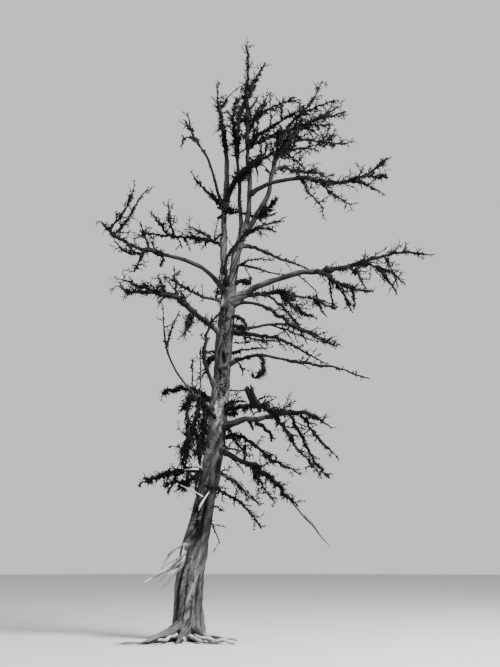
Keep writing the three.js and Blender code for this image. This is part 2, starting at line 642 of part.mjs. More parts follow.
limbs.forEach((limb, index) => {
  const draw = numbers(seeds.limbs + index);
  const start = placeOn(lines[limb.on], limb.at).point.add(new THREE.Vector3(...(limb.offset ?? [0, 0, 0])));
  const line = middleLine(limb, start, boughStep, draw);
  lines[limb.name] = line;
  rememberLimb(line, limb, 0, line.split, `${limb.name}_bough`);
  rememberLimb(line, limb, line.split, line.points.length - 1, `${limb.name}_twigs`);
  limb.forkLines = (limb.forks ?? []).map((fork) => {
    const forkLine = middleLine(fork, placeOn(line, fork.at).point, stemStep, draw);
    rememberLimb(forkLine, fork, 0, forkLine.points.length - 1, `${limb.name}_twigs`);
    return forkLine;
  });
});

const cutters = { trunk: trunkBody(joinGap) };
addMesh('trunk', trunkBody(), new THREE.Vector3(), finishes.trunk);

// The part of a limb that springs from its carrier: its bough, or the whole stem where no part is bare
function rootedBody(limb, grow) {
  const line = lines[limb.name];
  const last = limb.bare > 0 ? line.split : line.points.length - 1;
  return limbBody(line, limb, 0, last, limb.bare > 0 ? boughSides : stemSides, grow);
}

for (const limb of limbs) {
  cutters[limb.name] = rootedBody(limb, joinGap);
}

// What a limb springs from, and the limbs before it that set out close by, are cut from its root
function cutRoot(solid, limb) {
  const earlier = limbs.slice(0, limbs.indexOf(limb));
  const close = earlier.filter((other) => other.on === limb.on && Math.abs(other.at - limb.at) < nearRoot);
  const cut = close.reduce((rest, other) => rest.subtract(cutters[other.name]), solid);
  return largest(cut.subtract(cutters[limb.on]));
}

function addBough(limb) {
  const isStem = stems.includes(limb);
  const name = isStem ? limb.name : `${limb.name}_bough`;
  const finish = isStem ? finishes.trunk : finishes.bough;
  addMesh(name, cutRoot(rootedBody(limb, 0), limb), lines[limb.name].points[0], finish);
}

function addTwigs(limb) {
  const line = lines[limb.name];
  const node = `${limb.name}_twigs`;
  const draw = numbers(seeds.twigs + limbs.indexOf(limb));
  const { reach, hang = 0 } = limb.twigs;
  const bodies = growTwigs(line, limb, limb.bare, reach, hang, node, draw);
  (limb.forks ?? []).forEach((fork, i) => {
    const forkLine = limb.forkLines[i];
    bodies.push(limbBody(forkLine, fork, 0, forkLine.points.length - 1, stemSides));
    bodies.push(...growTwigs(forkLine, fork, 0, reach * twigRule.onFork, hang, node, draw));
  });
  const startGap = limb.bare > 0 ? joinGap : 0;
  const stem = limbBody(line, limb, line.split, line.points.length - 1, stemSides, 0, startGap);
  const mass = bodies.reduce((whole, body) => whole.add(body), stem);
  addMesh(node, limb.bare > 0 ? largest(mass) : cutRoot(mass, limb), line.points[line.split], finishes.twigs);
}

limbs.filter((limb) => limb.bare > 0).forEach(addBough);
limbs.filter((limb) => limb.twigs).forEach(addTwigs);

const brokenRoot = placeOn(lines.trunk, brokenLimb.at).point;

function brokenForkBody() {
  const whole = (line, limb) => limbBody(line, limb, 0, line.points.length - 1, boughSides);
  const line = middleLine(brokenLimb, brokenRoot, stemStep, numbers(seeds.broken));
  const fork = placeOn(line, brokenProng.at).point;
  const prong = middleLine(brokenProng, fork, stemStep, numbers(seeds.broken + 1));
  return largest(whole(line, brokenLimb).add(whole(prong, brokenProng)).subtract(cutters.trunk));
}

addMesh('broken_fork', brokenForkBody(), brokenRoot, finishes.pale);

export default tree;
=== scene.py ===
# A dead mountain pine: a weathered grey trunk and boughs, with dark dry twigs grown on by a seeded rule.
import math

import bpy
import numpy as np
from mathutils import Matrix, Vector, kdtree


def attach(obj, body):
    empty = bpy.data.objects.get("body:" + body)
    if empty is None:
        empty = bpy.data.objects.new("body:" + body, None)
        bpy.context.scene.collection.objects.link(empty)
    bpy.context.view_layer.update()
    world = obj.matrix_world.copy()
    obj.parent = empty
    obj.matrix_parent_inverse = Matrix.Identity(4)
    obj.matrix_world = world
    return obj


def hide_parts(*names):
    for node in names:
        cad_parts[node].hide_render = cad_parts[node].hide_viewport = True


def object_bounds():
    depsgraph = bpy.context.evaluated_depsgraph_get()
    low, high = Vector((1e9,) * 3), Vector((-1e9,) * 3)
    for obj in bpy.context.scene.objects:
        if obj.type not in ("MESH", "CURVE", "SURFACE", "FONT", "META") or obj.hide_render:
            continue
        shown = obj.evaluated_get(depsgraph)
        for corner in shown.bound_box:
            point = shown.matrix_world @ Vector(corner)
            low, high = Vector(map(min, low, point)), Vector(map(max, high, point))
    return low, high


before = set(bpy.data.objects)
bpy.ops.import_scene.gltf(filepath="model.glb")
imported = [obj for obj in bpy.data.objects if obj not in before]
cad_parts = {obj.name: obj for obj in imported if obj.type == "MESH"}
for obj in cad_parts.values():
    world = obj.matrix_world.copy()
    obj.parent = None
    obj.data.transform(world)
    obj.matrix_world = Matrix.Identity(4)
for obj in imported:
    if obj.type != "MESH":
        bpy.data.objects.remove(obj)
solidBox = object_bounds()
print("frame loaded")

# How the limbs grow. Sizes are in millimetres and angles in degrees: a heading turns from +X towards +Y,
# a rise is measured up from level, and lists are spread evenly over a limb's length.
growth = dict(treeHeight=12150, boughStep=290, stemStep=460, smallStep=110, wander=3, trunkSeed=1,
              limbSeed=11, twigSeed=501, brokenSeed=901, smallSeed=1301, stickSeed=1401)

trunk = dict(name="trunk", length=6830, levels=20, heading=[0], rise=[90, 88, 77, 78, 81.5, 84, 87, 84.5, 88],
             width=[560, 530, 500, 405, 365, 372, 345, 352, 290], ridge=0.07, ridges=3, twist=0.00055,
             flare=0.28, flareHeight=300)
rootGrowth = dict(start=470, rise=[-58, -38, -16, -4], steps=4, tipRise=0.2)


def woodAt(at, length, heading, rise, width, **more):
    # a stretch of wood: how far along its carrier it springs, and how it grows from there
    return dict(at=at, length=length, heading=heading, rise=rise, width=width, **more)


def branch(name, on, at, length, heading, rise, width, *clumps, bare=0, **more):  # a limb with a name
    limb = dict(woodAt(at, length, heading, rise, width, **more), name=name, on=on, bare=bare)
    return dict(limb, clumps=clumps) if clumps else limb


# Each limb stands on another. It is bare up to a place, and beyond it side twigs of the given reach
# grow on it and on its forks. They hang where that is said
stems = [
    branch("left_leader", "trunk", 6690, 4900, [108, 100, 80, 60, 130, 150, 112],
           [87, 84, 84, 82, 82, 78, 83], [130, 112, 108, 100, 92, 78, 58, 24], bare=3250,
           offset=[-85, 0, 0], reach=460),
    branch("right_leader", "trunk", 6690, 1400, [-32, -23, -18, -14], [88, 83, 80, 75, 68],
           [190, 180, 195, 185, 170], bare=1400, offset=[50, 0, 0]),
    branch("top_stem", "right_leader", 1290, 4050, [-15, -50, -150, -75, -95, -60, -160],
           [70, 84, 83, 87, 87, 86, 82], [118, 104, 94, 84, 70, 52, 22], bare=1650, reach=500,
           forks=[woodAt(1800, 1200, [35, 30], [42, 27], [48, 18]),
           woodAt(1950, 1400, [-38], [20, 15, 8], [52, 18]),
           woodAt(2150, 1200, [33, 42], [58, 67], [46, 16]),
           woodAt(2380, 1200, [-20], [35, 15, -2], [48, 18])]),
    branch("middle_stem", "right_leader", 1250, 4350, [125, 110, 120, 60, 20, 15],
           [82, 83, 83, 82, 72, 66, 62], [96, 84, 76, 66, 58, 50, 38, 22], bare=1750, reach=420,
           forks=[woodAt(1850, 1500, [130, 100, 45], [72, 76, 70], [50, 18])]),
    branch("leaning_stem", "right_leader", 1200, 3620, [-22, -22, -30, -60, -50, -25, -19, -26, -42],
           [54, 48, 58, 73, 71, 56, 40, 50, 68], [120, 108, 96, 86, 70, 50, 20], bare=1900, reach=420,
           forks=[woodAt(2750, 1000, [-36], [14, 10, -12], [34, 16])]),
]

boughs = [
    branch("fan_right", "leaning_stem", 1750, 2500, [62, 50, 32, 25, 20], [58, 50, 41, 33, 37],
           [72, 60, 46, 20], reach=360, forks=[woodAt(650, 1050, [31, 38], [56, 62], [40, 16])]),
    branch("fan_front", "leaning_stem", 1680, 1950, [-65, -45, -25, -28], [47, 38, 12, 7, 6],
           [72, 56, 42, 20], reach=380, forks=[woodAt(1050, 600, [-38], [0, -30], [36, 16])]),
    branch("fan_low", "leaning_stem", 1620, 2650, [60, 47, 36, 34, 32, 26], [68, 50, 28, 8, 4, 30],
           [74, 60, 46, 20], reach=360, forks=[woodAt(1850, 350, [20], [45], [36, 16])]),
    branch("front_diagonal", "left_leader", 1870, 3050, [-80, -56, -30, -28, -28],
           [48, 37, 20, 14, 2, 0, -3], [135, 112, 84, 58, 22], bare=1560, reach=400,
           forks=[woodAt(2050, 800, [-54], [-39], [34, 16])]),
    branch("high_right", "top_stem", 850, 3100, [-50, -48, -20, -12, -14, -18, -21, -26],
           [17, 4, 2, -10, -10, 4, 29, 43], [100, 86, 70, 50, 20], bare=1180, reach=400,
           forks=[woodAt(1250, 850, [-25, -20], [-60, -54, -48], [38, 16]),
           woodAt(1600, 950, [-30], [-36, -48, -36], [40, 16]),
           woodAt(2050, 900, [0], [2, -4, -21, -55], [40, 16]),
           woodAt(2500, 600, [-38], [-2, -26], [36, 16])]),
    branch("high_right_back", "leaning_stem", 1570, 1650, [40, 36, 40], [34, 2, 14, 3, -18], [60, 46, 18],
           reach=330),
    branch("upper_right_back", "right_leader", 1220, 1600, [53, 45], [35, 34, 23, 15], [58, 44, 18],
           reach=300),
    branch("mid_right_back", "right_leader", 1060, 2100, [43, 40], [22, -7, -10, -3, -10], [84, 66, 50, 20],
           reach=260),
    branch("mid_right_front", "right_leader", 670, 1300, [-38], [-14, -20, -20, -11], [56, 44, 18],
           reach=200, forks=[woodAt(100, 1100, [-55, -48], [19, -5, -20, -14], [36, 16])]),
    branch("crossing_front", "trunk", 6600, 2400, [-115, -87, -53, -35, -32], [55, 56, 44, 26, 22, -4, -44],
           [86, 66, 52, 20], reach=330),
    branch("great_right", "trunk", 6480, 4200, [-22, -17], [38, 21, 13, -2, 5, 14, 1, -20],
           [205, 150, 122, 108, 88, 62, 44, 22], bare=1980, reach=400,
           forks=[woodAt(2030, 1250, [-27], [-36, -33, -23, -2], [62, 20]),
           woodAt(2160, 1000, [3, 3, 3, 45], [-58, -54, -56, -85], [50, 18]),
           woodAt(2600, 750, [-45, -60, -80], [-32, -48, -56], [46, 18]),
           woodAt(2780, 1100, [11, 11, 24], [-4, -4, -20, -60], [58, 20]),
           woodAt(3330, 700, [-5], [-58, -76], [40, 16])]),
    branch("fork_right_back", "trunk", 6520, 2750, [34, 28], [35, 13, 1, 3, -17], [84, 66, 50, 20],
           reach=400, forks=[woodAt(1360, 1000, [35, 27], [-38, -26, -12], [48, 18])]),
    branch("fork_right_front", "trunk", 6470, 2650, [-27, -31], [18, -13, -34, -35, -28, -32],
           [92, 74, 54, 20], bare=850, reach=400),
    branch("knot_right_back", "trunk", 5940, 2650, [28], [15, 16, 11, -7, -16, -20], [96, 74, 52, 20],
           bare=1200, reach=330),
    branch("knot_right_front", "trunk", 5910, 2200, [-15, -18], [9, -9, -22, -35, -26], [84, 64, 46, 20],
           reach=280, forks=[woodAt(200, 1300, [-49], [-21, -12], [40, 16])]),
    branch("long_right", "trunk", 5240, 3150, [-27], [25, 8, -12, -13, -10, -23, -16],
           [104, 84, 66, 46, 18], bare=1450, reach=240),
    branch("front_tangle", "trunk", 4380, 1750, [-43, -43, -48], [4, 0, -5, -20, -22], [96, 90, 76, 50, 20],
           reach=400, forks=[woodAt(980, 420, [-130], [55], [170, 205])]),
    branch("low_right", "trunk", 3950, 2650, [-35, -30, -30, -32, -41], [32, 12, 0, 4, 4, -26, -40],
           [150, 124, 104, 72, 48, 20], bare=1180, reach=420,
           forks=[woodAt(1340, 1700, [-53, -49], [-47, -40], [66, 20]),
           woodAt(1660, 1350, [0], [-58, -67, -57, -48], [56, 20]),
           woodAt(1880, 1100, [-8], [-56, -39], [48, 18])]),
    branch("low_right_under", "trunk", 3790, 2120, [-32, -36, -34], [23, -6, -33, -35, -23, -25],
           [84, 64, 48, 20], reach=400, forks=[woodAt(330, 950, [-62], [-30], [32, 14])]),
    branch("lower_right", "trunk", 3650, 2350, [-33, -34, -34, -43, -46], [-23, -24, -21, -38, -42, -36],
           [122, 92, 60, 20], bare=850, reach=400,
           forks=[woodAt(950, 1220, [-68, -58], [-42, -33], [50, 18])]),
    branch("lowest_right", "trunk", 2920, 1650, [-37, -40, -54], [-24, -26, -38, -44], [62, 46, 18],
           reach=300),
    branch("low_back", "trunk", 3230, 1750, [54], [-17, -26], [78, 56, 20], reach=400),
    branch("high_back", "trunk", 6480, 2400, [104, 90, 82, 92], [26, 30, 26, 20, 30], [96, 72, 50, 20],
           reach=450),
    branch("middle_back", "trunk", 5360, 2450, [118, 104, 96, 110], [20, 6, -8, -14], [92, 70, 48, 20],
           reach=450),
    branch("lower_back", "trunk", 4420, 2200, [80, 96, 104, 100], [10, -4, -20, -28], [84, 62, 20],
           reach=440),
    branch("high_left", "left_leader", 1980, 2100, [-150, -132, -125, -147, -133, -101],
           [56, 64, 64, 47, 59, 68], [86, 70, 56, 42, 18], bare=1110, reach=220,
           forks=[woodAt(1450, 750, [-130, -110], [20, -11, -53, -57], [32, 16]),
           woodAt(1540, 500, [170], [53, 68], [28, 16])]),
    branch("high_left_back", "left_leader", 1890, 1650, [132, 138, 129], [49, 43, 54], [56, 44, 18],
           reach=220, forks=[woodAt(200, 450, [180], [60], [34, 16])]),
    branch("upper_left", "left_leader", 1070, 2300, [150, 152, 154, 152], [44, 17, 11, 15, 11, -24],
           [78, 60, 46, 20], reach=360, forks=[woodAt(210, 800, [-138], [22, 21, 1], [44, 18]),
           woodAt(1280, 760, [-177, -177, -20], [67, 72, 70], [46, 16]),
           woodAt(1460, 1000, [118, 133, 124], [50, 38, 48], [38, 16])]),
    branch("great_left", "trunk", 6750, 3020, [-145, -149, -154, -155, -154, -151, -142],
           [43, 33, 17, 5, 10, 23, 40], [128, 104, 92, 80, 54, 22], bare=1520, reach=360,
           forks=[woodAt(2660, 1150, [-6], [45, 60, 54], [46, 16]),
           woodAt(2790, 1020, [-24, -34, -60], [41, 46, 66], [46, 16]),
           woodAt(1880, 600, [-162, -145], [57, 72], [42, 16]),
           woodAt(2020, 600, [-110, -126], [-68, -63], [52, 20]),
           woodAt(1880, 800, [180], [-22, 0, 38, 47], [46, 18])]),
    branch("thin_left", "trunk", 6540, 1450, [-155, -145], [11, 10, 24, 18], [56, 44, 18], reach=200),
    branch("mid_left", "trunk", 5800, 2560, [-155, -151, -149, -151, -155, -154, -137],
           [46, 27, 32, 24, 1, -7, 42], [112, 96, 84, 64, 20], bare=820, reach=340,
           forks=[woodAt(1420, 1020, [-175], [43, 11, 11, 48], [52, 18]),
           woodAt(880, 720, [-103, -115], [-53], [60, 22]), woodAt(1510, 500, [-145, -80], [34], [44, 18]),
           woodAt(1290, 680, [155, 110, 25], [67, 76, 36], [44, 18])]),
    branch("left_back", "trunk", 4340, 2050, [122, 126, 136, 139, 128], [40, 37, 19, 5, -22], [84, 62, 20],
           reach=420),
    branch("upright_left", "trunk", 4665, 1700, [-152, -148, -132, -65, -53, -40], [52, 56, 66, 71, 68, 62],
           [132, 108, 88, 60, 24], bare=830, reach=300),
    branch("sweeping_left", "trunk", 4090, 2640, [-166, -160, -160, -156, -137, -106, -95],
           [48, 49, 47, 55, 70, 76, 76], [84, 70, 56, 42, 20], bare=1720, reach=200,
           forks=[woodAt(1830, 800, [42, 22], [77, 63], [40, 16])]),
    branch("hanging_left", "trunk", 4150, 1250, [-112, -117, -125], [30, 26, 12, -9], [90, 70, 24],
           reach=480, hang=-0.6, forks=[woodAt(800, 900, [-155], [-73], [58, 20])]),
    branch("low_left", "trunk", 3150, 1550, [-150], [17, -2, -13, -22, -20], [88, 68, 50, 20], reach=440),
]

roots = [
    dict(heading=236, length=1750, width=[340, 230, 160, 100]),
    dict(heading=213, length=1350, width=[280, 170, 100, 70]),
    dict(heading=262, length=1150, width=[260, 160, 80]),
    dict(heading=304, length=1350, width=[290, 180, 110, 60]),
    dict(heading=350, length=780, width=[290, 160, 75]),
    dict(heading=38, length=720, width=[280, 150, 65]),
    dict(heading=84, length=820, width=[290, 150, 65]),
    dict(heading=128, length=700, width=[270, 140, 60]),
    dict(heading=172, length=880, width=[290, 150, 70]),
]

# The torn branch low on the left, and the prong that forks from it
brokenLimb = woodAt(1880, 1330, [-142, -126, -133, -147, -152], [-22, -50, -56, -34, -38], [120, 96, 66, 34])
brokenProng = woodAt(400, 760, [-174, -156, -146, -164], [-16, -50, -64, -20], [74, 56, 28])

twigRule = dict(spacing=410, placeRange=0.5, turn=137.5, turnRange=60, spread=52, spreadRange=34,
                longest=1.35, shortest=0.6, taper=0.5, width=34, widthShare=0.6, bend=0.9, lift=0.1,
                hangAtRoot=0.6, clear=14, lowest=150, onFork=0.75, offshootEvery=3, offshootFrom=0.66,
                offshootTo=0.99, offshootShare=0.55, offshootSpread=48, offshootWidth=0.42)

limbs = stems + boughs
up = np.array([0.0, 0.0, 1.0])
metre = 0.001  # a millimetre in metres
tiny = 1e-6


def numbers(seed):  # the same numbers from 0 to 1 each time for one seed
    state = seed * 2654435761 % 2**32

    def draw():
        nonlocal state
        state = (state * 1664525 + 1013904223) % 2**32
        return state / 2**32

    return draw


def spreadOf(reach, draw):
    return reach * (draw() - 0.5)


def along(values, share):
    return np.interp(share, np.linspace(0, 1, len(values)), values) if len(values) > 1 else values[0]


def unit(vectors):
    return vectors / np.maximum(np.linalg.norm(vectors, axis=-1, keepdims=True), tiny)


def direction(heading, rise):
    heading, rise = math.radians(heading), math.radians(rise)
    return np.array([math.cos(rise) * math.cos(heading), math.cos(rise) * math.sin(heading), math.sin(rise)])


def middleLine(limb, start, step, draw, sway=growth["wander"]):
    bare, length = limb.get("bare", 0), limb["length"]
    points, places = [np.array(start, float)], [0.0]
    for low, high in [(0, bare), (bare, length)]:
        count = max(1, math.floor((high - low) / step + 0.5)) if high > low else 0
        for i in range(count):
            share = (low + (high - low) * (i + 0.5) / count) / length
            heading = along(limb["heading"], share) + spreadOf(sway * 2, draw)
            rise = along(limb["rise"], share) + spreadOf(sway * 2, draw)
            points.append(points[-1] + direction(heading, rise) * (high - low) / count)
            places.append(low + (high - low) * (i + 1) / count)
    return dict(points=np.array(points), places=np.array(places), split=places.index(bare), limb=limb)


def placeOn(line, distance):  # the point at a distance along a middle line, and the way that it runs there
    points, places = line["points"], line["places"]
    index = int(np.clip(np.searchsorted(places, distance) - 1, 0, len(points) - 2))
    span = points[index + 1] - points[index]
    share = (distance - places[index]) / (places[index + 1] - places[index])
    return points[index] + span * share, unit(span)


def lineNamed(name):  # a limb's middle line, or that of its fork of a number
    name, _, fork = name.partition(".")
    return lines[name]["forks"][int(fork)] if fork else lines[name]


def radiiAt(limb, places):
    return along(limb["width"], places / limb["length"]) / 2


def trunkRadius(height):
    flare = trunk["flare"] * np.exp(-height / trunk["flareHeight"])
    return radiiAt(trunk, height) * (1 + flare)


def growLines():
    lines = {"trunk": middleLine(trunk, (0, 0, 0), trunk["length"] / trunk["levels"],
                                 numbers(growth["trunkSeed"]), 0)}
    for index, limb in enumerate(limbs):
        draw = numbers(growth["limbSeed"] + index)
        start = placeOn(lines[limb["on"]], limb["at"])[0] + limb.get("offset", 0)
        line = middleLine(limb, start, growth["boughStep"], draw)
        lines[limb["name"]] = line
        line["forks"] = [middleLine(fork, placeOn(line, fork["at"])[0], growth["stemStep"], draw)
                         for fork in limb.get("forks", [])]
    return lines


lines = growLines()

# What has grown, as straight stretches with a radius and the node each belongs to
mostGrown = 6000
grown = dict(start=np.zeros((mostGrown, 3)), end=np.zeros((mostGrown, 3)), radius=np.zeros(mostGrown),
             node=np.zeros(mostGrown, int), count=0)
nodeNumbers = {}


def remember(points, radii, node):
    number = nodeNumbers.setdefault(node, len(nodeNumbers) + 1)
    for i in range(len(points) - 1):
        row = grown["count"]
        grown["start"][row], grown["end"][row] = points[i], points[i + 1]
        grown["radius"][row], grown["node"][row] = max(radii[i], radii[i + 1]), number
        grown["count"] += 1


def spanGaps(a, b, starts, ends):  # how near the stretch from a to b comes to each of the others
    u, v, w = b - a, ends - starts, a - starts
    uu, uv, vv, uw, vw = u @ u, v @ u, (v * v).sum(1), w @ u, (w * v).sum(1)
    area = uu * vv - uv * uv
    s = np.where(area > tiny, np.clip((uv * vw - vv * uw) / np.maximum(area, tiny), 0, 1), 0)
    t = (uv * s + vw) / vv
    s = np.where((t < 0) | (t > 1), np.clip((uv * np.clip(t, 0, 1) - uw) / uu, 0, 1), s)
    return np.linalg.norm(w + s[:, None] * u - np.clip(t, 0, 1)[:, None] * v, axis=1)


def isClear(points, radius, node):
    if points[:, 2].min() < twigRule["lowest"] or points[:, 2].max() > growth["treeHeight"]:
        return False
    others = np.flatnonzero(grown["node"][:grown["count"]] != nodeNumbers[node])
    starts, ends, room = (grown[key][others] for key in ("start", "end", "radius"))
    room = room + radius + twigRule["clear"]
    stretches = zip(points, points[1:])
    return not any((spanGaps(first, last, starts, ends) < room).any() for first, last in stretches)


def squareTo(tangent, before):  # square to the tangent, and as near as it can be to the one before
    side = before - tangent * (tangent @ before)
    return unit(side if np.linalg.norm(side) > tiny else np.array([1.0, 0, 0]) - tangent * tangent[0])


def twigPoints(point, tangent, turn, spread, length, hang, draw):
    side = squareTo(tangent, up)
    outward = side * math.cos(turn) + np.cross(tangent, side) * math.sin(turn)
    first = tangent * math.cos(spread) + outward * math.sin(spread)
    first = unit(first + up * hang * twigRule["hangAtRoot"])
    bend = np.array([spreadOf(twigRule["bend"], draw) for _ in range(3)])
    second = unit(first + bend + up * (hang + twigRule["lift"]))
    middle = point + first * length / 2
    return np.array([point, middle, middle + second * length / 2])


def offshootPoints(twig, reach, hang, draw):
    rule = twigRule
    spread = math.radians(rule["offshootSpread"] + spreadOf(rule["spreadRange"], draw))
    share = rule["offshootFrom"] + (rule["offshootTo"] - rule["offshootFrom"]) * draw()
    root = twig[0] + (twig[1] - twig[0]) * share
    turn = 2 * math.pi * draw()
    return twigPoints(root, unit(twig[2] - twig[1]), turn, spread, reach * rule["offshootShare"], hang, draw)


def growTwigs(line, start, reach, hang, node, draw):  # the side twigs of the solids, by the same rule
    rule, limb, twigs = twigRule, line["limb"], []
    count = math.floor((limb["length"] - start) / rule["spacing"] + 0.5)
    for i in range(count):
        share = (i + 0.5 + spreadOf(rule["placeRange"], draw)) / count
        distance = start + share * (limb["length"] - start)
        point, tangent = placeOn(line, distance)
        turn = math.radians(rule["turn"] * i + spreadOf(rule["turnRange"], draw))
        spread = math.radians(rule["spread"] + spreadOf(rule["spreadRange"], draw))
        size = rule["shortest"] + (rule["longest"] - rule["shortest"]) * draw()
        length = reach * (1 - rule["taper"] * share) * size
        twig = twigPoints(point, tangent, turn, spread, length, hang, draw)
        shoot = offshootPoints(twig, length, hang, draw)
        width = min(rule["width"], along(limb["width"], distance / limb["length"]) * rule["widthShare"])
        if not isClear(twig, width / 2, node):
            continue
        remember(twig, [width / 2, width / 2, width / 4], node)
        twigs.append((twig, width / 2))
        thin = width * rule["offshootWidth"]
        straight = shoot[[0, 2]]
        if i % rule["offshootEvery"] == 0 and isClear(straight, thin / 2, node):
            remember(straight, [thin / 2, thin / 4], node)
            twigs.append((shoot, thin))
    return twigs


def growMasses():  # for each limb with twigs, its side twigs as points and a radius
    heights = lines["trunk"]["places"]
    spread = np.array([trunkRadius(height) + radiiAt(trunk, height) * trunk["ridge"] for height in heights])
    remember(lines["trunk"]["points"], spread * (1 + trunk["ridge"]), "trunk")
    for limb in limbs:
        line = lines[limb["name"]]
        radii, split = radiiAt(limb, line["places"]), line["split"]
        remember(line["points"][:split + 1], radii[:split + 1], limb["name"] + "_bough")
        remember(line["points"][split:], radii[split:], limb["name"] + "_twigs")
        for fork in line["forks"]:
            remember(fork["points"], radiiAt(fork["limb"], fork["places"]), limb["name"] + "_twigs")
    masses = {}
    for index, limb in enumerate(limbs):
        if "reach" not in limb:
            continue
        line, node = lines[limb["name"]], limb["name"] + "_twigs"
        draw = numbers(growth["twigSeed"] + index)
        reach, hang = limb["reach"], limb.get("hang", 0)
        twigs = growTwigs(line, limb["bare"], reach, hang, node, draw)
        for fork in line["forks"]:
            twigs += growTwigs(fork, 0, reach * twigRule["onFork"], hang, node, draw)
        masses[limb["name"]] = twigs
    return masses


masses = growMasses()
print("limbs grown:", len(limbs), "with", sum(len(twigs) for twigs in masses.values()), "side twigs")


rng = np.random.default_rng(growth["twigSeed"])


def drift(points, seed=0):  # soft noise from -1 to 1 that goes through one swing in a unit
    points = np.atleast_2d(points) + seed * 17.31
    cell = np.floor(points).astype(np.int64)
    part = points - cell
    part = part * part * (3 - 2 * part)
    total = np.zeros(len(points))
    for corner in np.ndindex(2, 2, 2):  # each corner of a cell has a value of its own
        mixed = (cell + corner) @ np.array([73856093, 19349663, 83492791])
        mixed = (mixed ^ (mixed >> 13)) * 1274126177 % 2**31
        total += np.prod(np.where(corner, part, 1 - part), axis=1) * (mixed % 65536 / 32768 - 1)
    return total


# Which noise is read for what
noises = dict(knots=1, wobble=2, strand=3, thinStrand=4, fibre=5, crack=6, core=6, brush=7, crowd=9, lump=12,
              smallLump=13, patchy=14, holes=15, holePatch=16, wave=21)


def laneSpots(places, gap, lane):  # where to read the noise along a line, each line in a lane of its own
    return np.c_[places / gap, np.full(len(places), lane), np.zeros(len(places))]


def driftEachWay(spots):
    return np.stack([drift(spots, noises["wobble"] + axis) for axis in range(3)], 1)


def smoothLine(line, step=None, count=None):  # a soft curve through a middle line's points
    points, places = line["points"], line["places"]
    count = count or max(3, round(places[-1] / step) + 1)
    at = np.linspace(places[0], places[-1], count)
    slopes = np.gradient(points, places, axis=0)
    i = np.clip(np.searchsorted(places, at, "right") - 1, 0, len(places) - 2)
    span = (places[i + 1] - places[i])[:, None]
    t = (at - places[i])[:, None] / span
    curve = (points[i] * (2 * t**3 - 3 * t**2 + 1) + points[i + 1] * (3 * t**2 - 2 * t**3)
             + slopes[i] * span * (t**3 - 2 * t**2 + t) + slopes[i + 1] * span * (t**3 - t**2))
    return curve, at


def sidesOf(tangents, helper):  # two directions square to each tangent and to each other
    sides = unit(np.cross(tangents, helper))
    return sides, np.cross(tangents, sides)


# A rod is a limb's wood: points, radii and places along it, and how dark it is at a place
rodLook = dict(knotGap=150, swayStretch=[0.6, 1, 1], stillFoot=300)


def rodOf(line, step, first=0, last=None, swell=0, sway=0, seed=0):
    # the smooth middle line of a limb between two places, with its radii and its own knots and bends
    points, places = smoothLine(line, step)
    keep = (places >= first - tiny) & (places <= (last or places[-1]) + tiny)
    spots = laneSpots(places, rodLook["knotGap"], seed)
    radii = radiiAt(line["limb"], places) * (1 + swell * drift(spots, noises["knots"]))
    wobble = driftEachWay(spots * rodLook["swayStretch"])
    wobble *= np.minimum(places / rodLook["stillFoot"], 1)[:, None]
    points = points + wobble * radii[:, None] * sway
    return dict(points=points[keep], radii=radii[keep], places=places[keep], limb=line["limb"])


def evenShade(value):
    return lambda places: value + 0 * places


def shadeBetween(low, high, least, most=0.9):
    return lambda places: least + (most - least) * np.clip((places - low) / (high - low), 0, 1)


# The swollen foot of a limb, which belongs to the wood that carries it. Inside that wood it stays hidden
collar = dict(step=20, length=1.5, swell=1.28, foot=0.25, fade=0.34, hiddenShare=0.95, hiddenLeast=12)


def carrierRadius(limb):
    if limb["on"] == "trunk":
        return trunkRadius(limb["at"])
    return radiiAt(lines[limb["on"]]["limb"], limb["at"])


def collarOf(limb):
    inside = carrierRadius(limb)
    length = inside + along(limb["width"], 0) * collar["length"]
    rod = rodOf(lines[limb["name"]], collar["step"], 0, length)
    share = rod["places"] / length
    radii = rod["radii"] * (collar["swell"] + collar["foot"] * (1 - share) - collar["fade"] * share**2)
    hidden = inside * np.sqrt(np.clip(rod["places"] / inside, 0, 1)) * collar["hiddenShare"]
    hidden = hidden + collar["hiddenLeast"]
    rod["radii"] = np.where(rod["places"] < inside, np.minimum(radii, hidden), radii)
    return rod


# How the wood is made and carved. Each grain has its size across, across and along the limb
woodLook = dict(trunkVoxel=13.5, stemVoxel=10, boughVoxel=9.5, bleachedVoxel=7.4, slabVoxel=7, round=4,
                smoothing=3, softness=0.5, nearRoom=1.6, usualRadius=170, twist=-0.0019, twistRange=(0.6, 2),
                heftRange=(0.3, 1.2), strand=0.11, strandAbove=0.065, strandHeights=[2600, 3700],
                strandGrain=[95, 95, 900], thinGrain=[52, 52, 520], thinShare=0.35, fibre=5.0,
                fibreGrain=[24, 24, 240], crack=17.0, crackGrain=[46, 46, 620], crackFrom=0.42, crackGain=2.2,
                lump=13.0, lumpSize=210, smallLump=85, smallLumpShare=0.4, darkRange=(-1, 1.2))
# Painted shade and painted light on the wood, by its relief and by which way it faces: painted shade in its
# cracks, painted shade in the hollows between strands and painted light on their ridges, painted light on
# lumps and painted shade between them, painted shade on its underside and painted light on its top
paintedWoodShade = dict(crack=0.6, strand=0.3, lump=0.15, paintedUnderShade=0.7, paintedTopLight=0.27)
